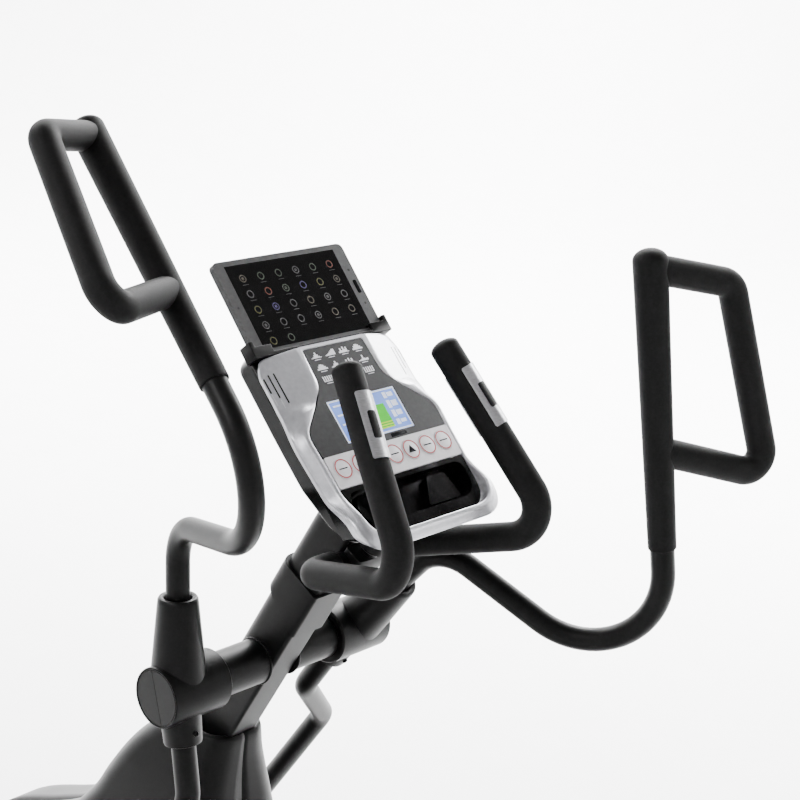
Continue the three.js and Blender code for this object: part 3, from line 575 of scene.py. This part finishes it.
def build_arm_upper(name, side):
    piece = Piece(f"upper_arm_{name}", paint)
    corners = [up_arm(side, ARM_X, 64), up_arm(side, ARM_X, 207), post(side, 0), post(side, 0.97)]
    piece.add(tube(corners, [55, 100], TUBE_R), swung(side))
    piece.finish("black_paint", f"arm_upper_{name}")


def build_arm_grip(name, side):
    piece = Piece(f"loop_grip_{name}", foam)
    turn = swung(side)
    low, high = post(side, FOAM_FROM), post(side, 1.0)
    length = (high - low).length
    along = (high - low).normalized()
    steps = [(0, 14.9), (0.1, 16.2), (0.8, 16.75), (2.2, 16.9)]
    path = [low + along * reach for reach, _ in steps]
    radii = [radius for _, radius in steps]
    for k in range(1, 25):
        path.append(low + along * length * k / 24)
        radii.append(16.9 + 3.4 * k / 24)
    piece.add(sweep(*domed(path, radii, False, True, 0.7)), turn)
    corners = [post(side, 0.985), from_pivot(side, *LOOP_HIGH), from_pivot(side, *LOOP_LOW)]
    corners.append(post(side, 0.606))
    piece.add(tube(corners, [23, 21], 17.3), turn)
    piece.finish("foam", f"arm_grip_{name}")


for side_name, side_sign in SIDES:
    build_arm_lower(side_name, side_sign)
    build_arm_cover(side_name, side_sign)
    build_arm_upper(side_name, side_sign)
    build_arm_grip(side_name, side_sign)


# ---- fixed handlebar with its foam, pulse plates, clamp and knob ----
def bar_corners(side):
    """The tip, the lower bend and the turn to the clamp, on that side."""
    return [Vector((side * x, y, z)) for x, y, z in (BAR_TIP, BAR_BEND, BAR_TURN)]


def build_fixed_bar():
    left, right = bar_corners(-1), bar_corners(1)
    piece = Piece("fixed_handlebar", paint)
    piece.add(tube([*left, *reversed(right)], [40, 26, 26, 40], BAR_R))
    piece.finish("black_paint", "handlebar_fixed")


def build_fixed_grip(name, side):
    tip, bend, turn = bar_corners(side)
    inner = Vector((side * 42, turn.y, turn.z))
    top = tip + (tip - bend).normalized() * 1.5
    piece = Piece(f"fixed_foam_{name}", foam)
    path = bent_path([top, bend, turn, inner], [40, 26])
    piece.add(sweep(*domed(path, [BAR_FOAM_R] * len(path), True, True, 0.55)))
    piece.finish("foam", f"fixed_grip_{name}")


def curved_plate(radius, thick, half_angle, low, high, ease):
    """A plate bent about Z, facing +X, with rounded ends."""
    columns, rows = 28, 10
    points, faces = [], []
    for layer in (radius, radius + thick):
        for i in range(columns + 1):
            a = half_angle * (2 * i / columns - 1)
            edge = max(0.0, abs(a) - half_angle + ease) / ease
            trim = ease * radius * (1 - math.sqrt(max(0.0, 1 - edge * edge)))
            for j in range(rows + 1):
                z = low + trim + (high - low - 2 * trim) * j / rows
                points.append(Vector((layer * math.cos(a), layer * math.sin(a), z)))
    per = rows + 1
    lift = (columns + 1) * per
    rim = [i * per for i in range(columns + 1)] + [columns * per + j for j in range(1, per)]
    rim += [i * per + rows for i in range(columns - 1, -1, -1)] + [j for j in range(rows - 1, 0, -1)]
    for i in range(columns):
        for j in range(rows):
            a, b = i * per + j, (i + 1) * per + j
            faces += [(a, b, b + 1, a + 1), (a + lift, a + 1 + lift, b + 1 + lift, b + lift)]
    for a, b in zip(rim, rim[1:] + rim[:1]):
        faces.append((a, b, b + lift, a + lift))
    return points, faces


def build_pulse_sensor(name, side):
    """A bent steel plate with a dark inset, and a plain one on the far side of the grip."""
    tip, bend, _ = bar_corners(side)
    axis = (tip - bend).normalized()
    face = (PANEL_OUT - axis * PANEL_OUT.dot(axis)).normalized()
    place = axes(tip.lerp(bend, 0.43), face, axis.cross(face), axis)
    piece = Piece(f"pulse_plate_{name}", steel, plastic)
    piece.add(curved_plate(BAR_FOAM_R + 0.2, 1.4, PULSE_HALF_ANGLE, 0, PULSE_LENGTH, 0.12), place)
    piece.add(curved_plate(BAR_FOAM_R + 1.5, 0.6, 0.3, 22, 54, 0.14), place, 1)
    far_side = place @ Matrix.Rotation(-side * 2.88, 4, "Z")
    piece.add(curved_plate(BAR_FOAM_R + 0.2, 1.0, PULSE_HALF_ANGLE, 0, PULSE_LENGTH, 0.12), far_side)
    piece.finish("steel", f"pulse_sensor_{name}")


def build_knob():
    low, high = box_mm("clamp_knob")
    base = (low + high) / 2 - MAST_UP * 17
    piece = Piece("clamp_handwheel", plastic)
    outline = [(0, 0), (10, 0), (10, 7), (14.6, 7.4), (16, 9), (14.6, 31), (13.2, 33.6), (11, 34), (0, 34)]
    piece.add(lathe(outline), towards(base, MAST_UP))
    piece.finish("black_plastic", "clamp_knob")


build_fixed_bar()
build_knob()
for side_name, side_sign in SIDES:
    build_fixed_grip(side_name, side_sign)
    build_pulse_sensor(side_name, side_sign)


# ---- mast ----
def mast_section(grow=0.0):
    x, back, front = 24 + grow, -25 - grow, 38 + grow
    return eased([(-x, back, 6), (x, back, 6), (x, front, 20), (-x, front, 20)], 6, 12)


def build_mast():
    """The leaning column, cut off under the console, with the cross tube welded through it."""
    piece = Piece("mast_column", paint)
    outline = mast_section()
    level = PANEL_OUT.dot(PANEL.translation) + CONSOLE_BACK
    bottom, top = [], []
    for x, forward in outline:
        bottom.append(MAST @ Vector((x, forward, MAST_FOOT)))
        reach = (level - PANEL_OUT.dot(MAST @ Vector((x, forward, 0)))) / PANEL_OUT.dot(MAST_UP)
        top.append(MAST @ Vector((x, forward, reach)))
    count = len(outline)
    piece.add((bottom + top, bridge([list(range(count)), list(range(count, 2 * count))])))
    for side in (-1, 1):
        stub = [(0, 0), (28.5, 0), (28.5, 71.5), (27.5, 72.5), (14, 72.5)]
        piece.add(lathe(stub, 96), sideways(side, 23, PIVOT.y, PIVOT.z))
        bead = [(28.6 + 1.9 * math.cos(a), 1.2 + 1.9 * math.sin(a)) for a in
                [math.radians(150 - 210 * k / 10) for k in range(11)]]
        piece.add(lathe(bead, 96), sideways(side, 23, PIVOT.y, PIVOT.z))
    piece.finish("black_paint", "mast")


def build_collar():
    """A sleeve on the mast whose lower edge slants down towards the user."""
    piece = Piece("mast_sleeve", plastic)
    loops = [mast_section(4), mast_section(0.3)]
    points, faces = prism(loops, 0, 150)
    for point in points[:len(points) // 2]:
        point.z = 89 + 0.38 * point.y
    piece.add((points, faces), MAST)
    piece.finish("black_plastic", "mast_collar", bevel=1.5)


build_mast()
build_collar()


# ---- console ----
BEZEL_RIGHT = [(119, -177, 38), (117, -110, 12), (121, -30, 14), (115, 20, 14), (115, 62, 8),
               (104, 81.5, 6)]
WINDOW_RIGHT = [(104, -162, 34), (104.5, -60, 4), (106.5, -24, 12), (68, 12, 10), (52.5, 30, 8), (50, 77, 4)]
SHELL_RIGHT = [(107, -154, 34), (112, -60, 10), (112, 0, 10), (110, 88, 9), (94, 100, 9)]
PANEL_RIGHT = [(103, -54.6, 3), (105.5, -25, 11), (67.2, 11.4, 10), (51.8, 29.5, 8), (49.4, 76.5, 4)]
BEZEL_RAYS = 720
BEZEL_CENTRE = Vector((0, -30))
BEZEL_FOOT = -19.8
# How far the foot is set back under the lower lip, and how much of the wall below the brow stays silver.
LIP_UNDERCUT = 27
SILVER_WALL = 0.3
WING_TILT = 0.26


def ray_reach(outline, centre, angle):
    """How far along a ray from the centre the outline is crossed."""
    direction = Vector((math.cos(angle), math.sin(angle)))
    best = 0.0
    for a, b in zip(outline, outline[1:] + outline[:1]):
        edge = b - a
        across = direction.x * edge.y - direction.y * edge.x
        if abs(across) < 1e-9:
            continue
        start = a - centre
        reach = (start.x * edge.y - start.y * edge.x) / across
        where = (start.x * direction.y - start.y * direction.x) / across
        if reach > best and -1e-6 <= where <= 1 + 1e-6:
            best = reach
    return best


def ease_in(value, start, end):
    """0 before start, 1 after end and a smooth rise between."""
    t = min(1.0, max(0.0, (value - start) / (end - start)))
    return t * t * (3 - 2 * t)


def bezel_height(u, v, share):
    """The upper wings fall away outwards, the lower sides slant down, and the bottom lip is raised."""
    wing = ease_in(v, 2, 20)
    lip = ease_in(-v, 96, 142)
    slant = ease_in(share, 0.2, 1.0)
    wing_drop = WING_TILT * max(0.0, abs(u) - 58) * wing
    side_drop = 13 * slant * (1 - wing) * (1 - 0.62 * lip)
    return 12 * lip - wing_drop - side_drop


def build_bezel():
    """Silver surround with a black foot, drawn as rings between the window and the outline."""
    outer, window = mirrored_outline(BEZEL_RIGHT), mirrored_outline(WINDOW_RIGHT)
    angles = [2 * math.pi * k / BEZEL_RAYS for k in range(BEZEL_RAYS)]
    inner_reach = [ray_reach(window, BEZEL_CENTRE, a) for a in angles]
    outer_reach = [ray_reach(outer, BEZEL_CENTRE, a) for a in angles]
    # Each ring: its share of the way outwards, a shift in millimetres, and its drop below the surface.
    profile = [(0, 0, -7.0), (0, 0, -1.2), (0, 0.4, -0.4), (0, 1.2, 0)]
    profile += [(share / 10, 1.2 - 0.12 * share, 0) for share in range(1, 10)]
    profile += [(1, -1.6, -0.2), (1, -0.7, -0.8), (1, -0.2, -1.6), (1, 0, -3.0), (1, 0, BEZEL_FOOT)]
    loops = []
    for share, shift, drop in profile:
        loop = []
        for a, near, far in zip(angles, inner_reach, outer_reach):
            reach = near + (far - near) * share + shift
            u, v = BEZEL_CENTRE.x + reach * math.cos(a), BEZEL_CENTRE.y + reach * math.sin(a)
            height = drop if drop < -5 else bezel_height(u, v, share) + drop
            if drop == BEZEL_FOOT:
                v += LIP_UNDERCUT * ease_in(-v, 140, 177)
            loop.append(Vector((u, v, max(height, BEZEL_FOOT))))
        loops.append(loop)
    brow, foot = loops[-2:]
    loops.insert(-1, [top.lerp(low, SILVER_WALL) for top, low in zip(brow, foot)])
    points = [point for loop in loops for point in loop]
    rings = [list(range(k * BEZEL_RAYS, (k + 1) * BEZEL_RAYS)) for k in range(len(loops))]
    faces = bridge(rings)[:-2]
    faces += bridge([rings[-1], rings[0]])[:-2]
    piece = Piece("console_surround", silver, gloss, pale_print)
    piece.add((points, faces), PANEL)
    black_from = (len(rings) - 2) * BEZEL_RAYS
    for k in range(black_from, black_from + BEZEL_RAYS):
        piece.slots[k] = 1
    for side in (-1, 1):
        for u, v_top, length in ((112, 58, 19), (105, 61, 30), (98, 61, 39)):
            # Each groove is a raised strip of gloss black on the wing: painted shade standing in for the shadow
            # inside a cut groove.
            groove_shade = eased([(-0.9, -length), (0.9, -length), (0.9, 0), (-0.9, 0)], 0.7)
            crease = rectangle(-0.35, 0.35, -length - 16, -length - 2)
            wing = PANEL @ Matrix.Translation((side * u, v_top, bezel_height(u, 60, 0)))
            wing = wing @ Matrix.Rotation(side * 0.254, 4, "Y")
            piece.add(prism([groove_shade], -0.6, 0.12), wing, 1)
            piece.add(prism([crease], -0.6, 0.1), wing, 2)
    piece.finish("silver_plastic", "console_bezel", sharp=50)


def build_rear_shell():
    """The back shell, shallower towards its lower end."""
    piece = Piece("console_back", gloss)
    points, faces = prism([mirrored_outline(SHELL_RIGHT)], -48, -20.3)
    for point in points[:len(points) // 2]:
        point.z += max(0.0, (-95 - point.y) * 0.3)
    piece.add((points, faces), PANEL)
    piece.finish("gloss_black", "console_rear_shell", bevel=5.0)


HILL_HEIGHTS = {
    "peak": (1, 2, 4.5, 7.5, 4.5, 2, 1),
    "ramp": (1, 2, 3, 4.5, 6, 7.5, 7.5),
    "hill": (2, 5, 7, 7, 6, 4, 2),
    "twin": (2, 6, 3, 7.5, 4, 6.5, 1),
    "spire": (1, 1.5, 2.5, 7.5, 3, 2, 3),
}
ICON_ROWS = (
    ("peak", "ramp", "twin", "hill"),
    ("hill", "peak", "twin", "spire"),
    ("bars", "spire", "peak", "bars"),
)


def program_icon(kind):
    """Hill profiles and bar rows over a short underline, as outlines about (0, 0)."""
    shapes = [rectangle(-5, 5, -6.2, -5.4)]
    if kind == "bars":
        shapes += [rectangle(-8 + 3.4 * k, -6.2 + 3.4 * k, -3, 3.5) for k in range(5)]
        shapes.append(rectangle(-8, 7.4, -3.6, -2.6))
        return shapes
    for k, height in enumerate(HILL_HEIGHTS[kind]):
        shapes.append(rectangle(-8.2 + 2.35 * k, -6.05 + 2.35 * k, -3.6, height - 3.6))
    return shapes


def build_panel():
    """The dark print round the screen, with programme icons above and a small window below."""
    hole = rectangle(-56, 56, -46, 9)
    piece = Piece("console_print", charcoal, pale_print, gloss)
    piece.add(prism([mirrored_outline(PANEL_RIGHT), hole], -6, -0.6), PANEL)
    for row, kinds in enumerate(ICON_ROWS):
        for column, kind in enumerate(kinds):
            spot = PANEL @ Matrix.Translation((-34 + 22.7 * column, 67 - 15.5 * row, 0))
            for shape in program_icon(kind):
                piece.add(prism([shape], -0.7, -0.45), spot, 1)
    piece.add(prism([rectangle(12, 38, -52.5, -47.8)], -0.7, -0.4), PANEL, 2)
    piece.finish("charcoal_print", "console_panel")


def build_lcd():
    """The lit screen, with a pale border, a bar chart and plain blocks in place of readings."""
    piece = Piece("console_screen", lcd_blue, lcd_white, lcd_green, lcd_lime)
    piece.add(prism([rectangle(-55.5, 55.5, -45.5, 8.5)], -6, -1.4), PANEL)
    border = [rectangle(-55.5, 55.5, -45.5, 8.5), rectangle(-53.4, 53.4, -43.4, 6.4)]
    piece.add(prism(border, -1.5, -1.2), PANEL, 1)
    piece.add(prism([rectangle(4, 27, -40, -9)], -1.5, -1.25), PANEL, 2)
    for k in range(3):
        piece.add(prism([rectangle(4, 27, -40 + 3.2 * k, -38.2 + 3.2 * k)], -1.4, -1.15), PANEL, 3)
    for v0, v1 in ((-4, 4), (-17, -7), (-29, -20), (-39, -32)):
        piece.add(prism([rectangle(33, 38.5, v0, v1)], -1.5, -1.25), PANEL, 1)
        piece.add(prism([rectangle(40, 49, v0 + 1.5, v1 - 1)], -1.5, -1.25), PANEL, 1)
    for u0, u1, v in ((-49, -20, 0), (-49, -30, -12), (-24, -8, -12), (-49, -14, -24), (6, 18, 2.5)):
        piece.add(prism([rectangle(u0, u1, v, v + 2.2)], -1.5, -1.25), PANEL, 1)
    piece.finish("lcd", "console_lcd")


def key_places():
    """Each key's place across the panel and its cap radius, from the CAD keys."""
    for number in range(1, KEY_COUNT + 1):
        low, high = box_mm(f"key_{number}")
        yield number, (low.x + high.x) / 2, (high.x - low.x) / 2


def build_strip_and_keys():
    """Round caps ringed in red, each with a plain bar or triangle, standing in the pale strip."""
    piece = Piece("console_key_strip", key_white)
    outline = eased([(-103, -95), (103, -95), (103, -55.2), (-103, -55.2)], 3)
    holes = [circle(u, KEY_V, radius + 0.5) for _, u, radius in key_places()]
    piece.add(prism([outline, *holes], -6, 0.6), PANEL)
    piece.finish("silver_plastic", "console_strip")
    for number, u, radius in key_places():
        key = Piece(f"key_cap_{number}", key_white, red_print, gloss)
        cap = [(0, -KEY_DEEP), (radius, -KEY_DEEP), (radius, 0.9), (radius - 0.25, 1.25), (radius - 0.8, 1.4),
               (0, 1.5)]
        spot = PANEL @ Matrix.Translation((u, KEY_V, 0))
        key.add(lathe(cap, 56), spot)
        key.add(prism([circle(0, 0, radius - 0.6), circle(0, 0, radius - 2.1)], 1.3, 1.6), spot, 1)
        if number == ARROW_KEY:
            key.add(prism([[Vector((-6.2, -4)), Vector((6.2, -4)), Vector((0, 5.6))]], 1.4, 1.65), spot, 2)
        else:
            key.add(prism([rectangle(-6.5, 6.5, -0.6, 0.7)], 1.4, 1.62), spot, 2)
        key.finish("key_white", f"key_{number}")


def tray_outline(low, high, half, bottom_ease, top_ease):
    return mirrored_outline([(half, low, bottom_ease), (half, high, top_ease)], 10)


def build_tray():
    """The gloss tray under the keys, with a cup ring on the left and a wedge on the right."""
    rim = tray_outline(-161.2, -95.6, 103, 33.5, 3)
    recess = tray_outline(-145, -101, 96, 26, 14)
    tub = tray_outline(-147.5, -98.5, 98.5, 27.5, 15)
    piece = Piece("console_tray_tub", gloss)
    piece.add(prism([rim, recess], -6, -1.5), PANEL)
    piece.add(prism([tub, recess], -26, -5.8), PANEL)
    piece.add(prism([tub], -26, -23.5), PANEL)
    cup = [(19, -23), (20.5, -23), (20.5, -6), (20, -5.4), (19.4, -6), (19, -22)]
    piece.add(lathe(cup, 64), PANEL @ Matrix.Translation((-66, -123, 0)))
    wedge = eased([(24, -140), (80, -140), (72, -106), (42, -106)], 4)
    piece.add(prism([wedge], -24, -12), PANEL)
    piece.finish("gloss_black", "console_tray", bevel=0.8)


build_bezel()
build_rear_shell()
build_panel()
build_lcd()
build_strip_and_keys()
build_tray()


# ---- tablet and ledge ----
# Which of icon_looks each ring on the tablet takes, row by row.
ICON_ORDER = (0, 1, 1, 2, 1, 3, 2, 3, 1, 4, 5, 0, 5, 4, 2, 0, 2, 2, 2, 2, 2, 2, 0, 0, 5, 1)
GLASS_SLOT = 1
FIRST_ICON_SLOT = 2
GREY_SLOT = FIRST_ICON_SLOT + 2


def build_tablet():
    """A slate case with its dark screen, a button, small dots and rings in place of app icons."""
    piece = Piece("tablet_body", slate, glass, *icon_looks.values())
    body = eased(rectangle(-TABLET_HALF, TABLET_HALF, 0, TABLET_HEIGHT), 9)
    piece.add(prism([body], -TABLET_THICK, 0), TABLET)
    piece.add(prism([rectangle(-90, 88, 6, 114)], -0.2, 0.12), TABLET, GLASS_SLOT)
    button = eased(rectangle(94.5, 100, 52, 70), 2.4)
    piece.add(prism([button, circle(97.2, 61, 0.1, 8)], -0.2, 0.35), TABLET, GLASS_SLOT)
    for v in (38, 84):
        piece.add(prism([circle(97.2, v, 1.6, 20)], -0.2, 0.2), TABLET, GREY_SLOT)
    piece.add(prism([circle(-98, 61, 1.4, 20)], -0.2, 0.2), TABLET, GREY_SLOT)
    spots = [(column, row) for row in range(4) for column in range(6)] + [(0, 4), (1, 4)]
    for order, (column, row) in zip(ICON_ORDER, spots):
        tint = FIRST_ICON_SLOT + order
        u, v = -71 + 28.4 * column, 96 - 20.5 * row
        ring = [circle(u, v, 5.2, 24), circle(u, v, 3.6, 24)]
        piece.add(prism(ring, 0.05, 0.22), TABLET, tint)
        piece.add(prism([rectangle(u - 4.5, u + 4.5, v - 8.6, v - 7.9)], 0.05, 0.2), TABLET, GREY_SLOT)
        if (column + row) % 3 == 0:
            piece.add(prism([circle(u, v, 2.2, 16)], 0.05, 0.22), TABLET, tint)
    piece.finish("tablet_case", "tablet")


build_tablet()


# ---- shroud: back and front edges and half width, each against height ----
SHROUD_LOW = 105.5
SHROUD_TOP = 889
SHROUD_LEVELS = 90
SHROUD_BACK = [(105, 170), (220, 158), (330, 152), (430, 172), (520, 208), (610, 270), (690, 326), (750, 352),
               (800, 363), (850, 369), (889, 370)]
SHROUD_FRONT = [(105, 915), (180, 924), (300, 930), (400, 922), (480, 900), (540, 850), (590, 760), (630, 690),
                (680, 625), (735, 582), (780, 562), (830, 535), (865, 505), (889, 472)]
SHROUD_HALF = [(105, 96), (200, 100), (620, 100), (700, 92), (760, 80), (800, 72), (840, 62), (870, 54),
               (889, 48)]
# The rolled rim round the mast: how much each row shrinks towards the middle, and its height.
SHROUD_RIM = ((0.975, 893), (0.92, 895.5), (0.84, 896), (0.79, 894), (0.775, 888))


def along(table, z):
    """A smooth curve through the table's points."""
    for i in range(len(table) - 1):
        if z <= table[i + 1][0]:
            break
    (z0, a), (z1, b) = table[i], table[i + 1]
    span = z1 - z0
    before = table[max(i - 1, 0)]
    after = table[min(i + 2, len(table) - 1)]
    slope_a = (b - before[1]) / (z1 - before[0]) * span
    slope_b = (after[1] - a) / (after[0] - z0) * span
    t = min(1.0, max(0.0, (z - z0) / span))
    return ((2 * t ** 3 - 3 * t ** 2 + 1) * a + (t ** 3 - 2 * t ** 2 + t) * slope_a
            + (3 * t ** 2 - 2 * t ** 3) * b + (t ** 3 - t ** 2) * slope_b)


def shroud_section(side, z, steps=14):
    """Half of a round-cornered plan section, from the back seam round the side to the front seam."""
    back, front, half = along(SHROUD_BACK, z), along(SHROUD_FRONT, z), along(SHROUD_HALF, z)
    reach = min(40.0, half * 0.7, (front - back) * 0.45)
    points = [Vector((side * 0.2, back, z)), Vector((side * (half - reach) * 0.5, back, z))]
    for middle_y, start in ((back + reach, math.radians(-90)), (front - reach, 0.0)):
        for k in range(steps + 1):
            a = start + math.radians(90) * k / steps
            out = half - reach + reach * math.cos(a)
            points.append(Vector((side * out, middle_y + reach * math.sin(a), z)))
    points.append(Vector((side * (half - reach) * 0.5, front, z)))
    points.append(Vector((side * 0.2, front, z)))
    return points


def build_shroud(name, side):
    """Half of the front cover, with its seam on the middle plane and a rolled rim round the mast."""
    rise = (SHROUD_TOP - SHROUD_LOW) / SHROUD_LEVELS
    rows = [shroud_section(side, SHROUD_LOW + rise * k) for k in range(SHROUD_LEVELS + 1)]
    top = rows[-1]
    centre_y = (top[0].y + top[-1].y) / 2
    for shrink, z in SHROUD_RIM:
        rows.append([Vector((p.x * shrink if abs(p.x) > 1 else p.x, centre_y + (p.y - centre_y) * shrink, z))
                     for p in top])
    count = len(rows[0])
    points = [p for row in rows for p in row]
    faces = [(r * count + k, r * count + k + 1, (r + 1) * count + k + 1, (r + 1) * count + k)
             for r in range(len(rows) - 1) for k in range(count - 1)]
    piece = Piece(f"shroud_shell_{name}", plastic)
    piece.add((points, faces))
    shell = piece.finish("black_plastic", f"shroud_{name}", sharp=60)
    wall = shell.modifiers.new("wall", "SOLIDIFY")
    wall.thickness = 0.0028
    wall.offset = -1.0


def build_crank_disc(name, side):
    """A turned disc as wide and as far out as the CAD's, with a raised rim, face ring and hub."""
    low, high = box_mm(f"crank_disc_{name}")
    middle = (low + high) / 2
    radius = (high.y - low.y) / 2
    inner = min(abs(low.x), abs(high.x))
    piece = Piece(f"crank_cover_{name}", gloss)
    profile = [(0, 0), (radius - 4, 0), (radius - 1, 1), (radius, 3), (radius, 9), (radius - 1.5, 11.6),
               (radius - 5, 12.6), (radius - 12, 12.6), (radius - 16, 10.6)]
    profile += [(120, 10.6), (112, 12.6), (60, 12.8), (52, 11), (24, 11), (20, 13), (0, 13)]
    piece.add(lathe(profile, 160), sideways(side, inner, middle.y, middle.z))
    piece.finish("gloss_black", f"crank_disc_{name}")


for side_name, side_sign in SIDES:
    build_shroud(side_name, side_sign)
    build_crank_disc(side_name, side_sign)


# ---- parts shown as the CAD has them ----
for node_name in ("main_frame", "front_stabilizer", "rear_stabilizer"):
    keep(node_name, paint, 1.6)
for node_name in ("pivot_axle", "crank_axle", "flywheel_shaft", "brake_magnet"):
    keep(node_name, steel, 0.5)
keep("handlebar_clamp", plastic, 1.0)
keep("drive_pulley", plastic, 0.8)
keep("flywheel", cast_iron, 1.2)
keep("drive_belt", rubber, 0.4)
keep("console_board", board_green, 0.2)
keep("tablet_ledge", plastic, 0.8)
for side_name, _ in SIDES:
    keep(f"track_{side_name}", steel, 0.6)
    keep(f"rail_{side_name}", paint, 1.6)
    keep(f"link_{side_name}", paint, 1.0)
    keep(f"pedal_{side_name}", plastic, 1.2)
    keep(f"roller_{side_name}", plastic, 1.5)
    keep(f"transport_wheel_{side_name}", rubber, 1.5)


# ---- studio ----
def build_floor():
    """A pale round floor that curves up into a backdrop all the way round."""
    reach, bend, top = 9000.0, 2500.0, 7500.0
    profile = [(0, 0), (reach - bend, 0)]
    for k in range(1, 25):
        a = math.pi / 2 * k / 24
        profile.append((reach - bend + bend * math.sin(a), bend - bend * math.cos(a)))
    profile.append((reach, top))
    points, faces = lathe(profile, 96)
    mesh = bpy.data.meshes.new("studio_floor")
    mesh.from_pydata([p * MM for p in points], [], faces[:-1])
    paper = simple_look("studio_paper", (0.9, 0.9, 0.9), (0.92, 0.92, 0.92), (0.8, 0.9),
                        grain=40, bump=0.02)
    mesh.materials.append(paper.material)
    floor = bpy.data.objects.new("studio_floor", mesh)
    bpy.context.scene.collection.objects.link(floor)
    smooth(floor)


def add_softbox(name, place, aim, size, power):
    light = bpy.data.lights.new(name, "AREA")
    light.shape = "RECTANGLE"
    light.size, light.size_y = size
    light.energy = power
    lamp = bpy.data.objects.new(name, light)
    lamp.location = place
    lamp.rotation_euler = (Vector(aim) - Vector(place)).to_track_quat("-Z", "Y").to_euler()
    bpy.context.scene.collection.objects.link(lamp)


def build_lights():
    world = bpy.data.worlds.new("studio_air")
    world.use_nodes = True
    world.node_tree.nodes["Background"].inputs["Color"].default_value = (1, 1, 1, 1)
    world.node_tree.nodes["Background"].inputs["Strength"].default_value = 0.45
    bpy.context.scene.world = world
    add_softbox("key_softbox", (-2.8, 0.6, 3.2), LIGHT_AIM, (1.2, 1.2), 85)
    add_softbox("side_softbox", (1.9, -1.6, 2.4), LIGHT_AIM, (0.6, 1.6), 10)
    for k, (x, y) in enumerate(FLOOR_LIGHTS):
        add_softbox(f"floor_light_{k + 1}", (x, y, FLOOR_LIGHT_HEIGHT), (x, y, 0), (2.6, 2.6), 700)


def build_camera():
    """Above and behind the user's left shoulder, looking down at the console."""
    camera = bpy.data.cameras.new("camera")
    camera.lens = CAMERA_LENS
    camera.sensor_width = CAMERA_SENSOR
    eye = bpy.data.objects.new("camera", camera)
    view = CAMERA_VIEW.normalized()
    up = CAMERA_RIGHT.normalized().cross(view).normalized()
    eye.matrix_world = axes(CAMERA_PLACE, view.cross(up).normalized(), up, -view)
    bpy.context.scene.collection.objects.link(eye)
    bpy.context.scene.camera = eye


build_floor()
build_lights()
build_camera()
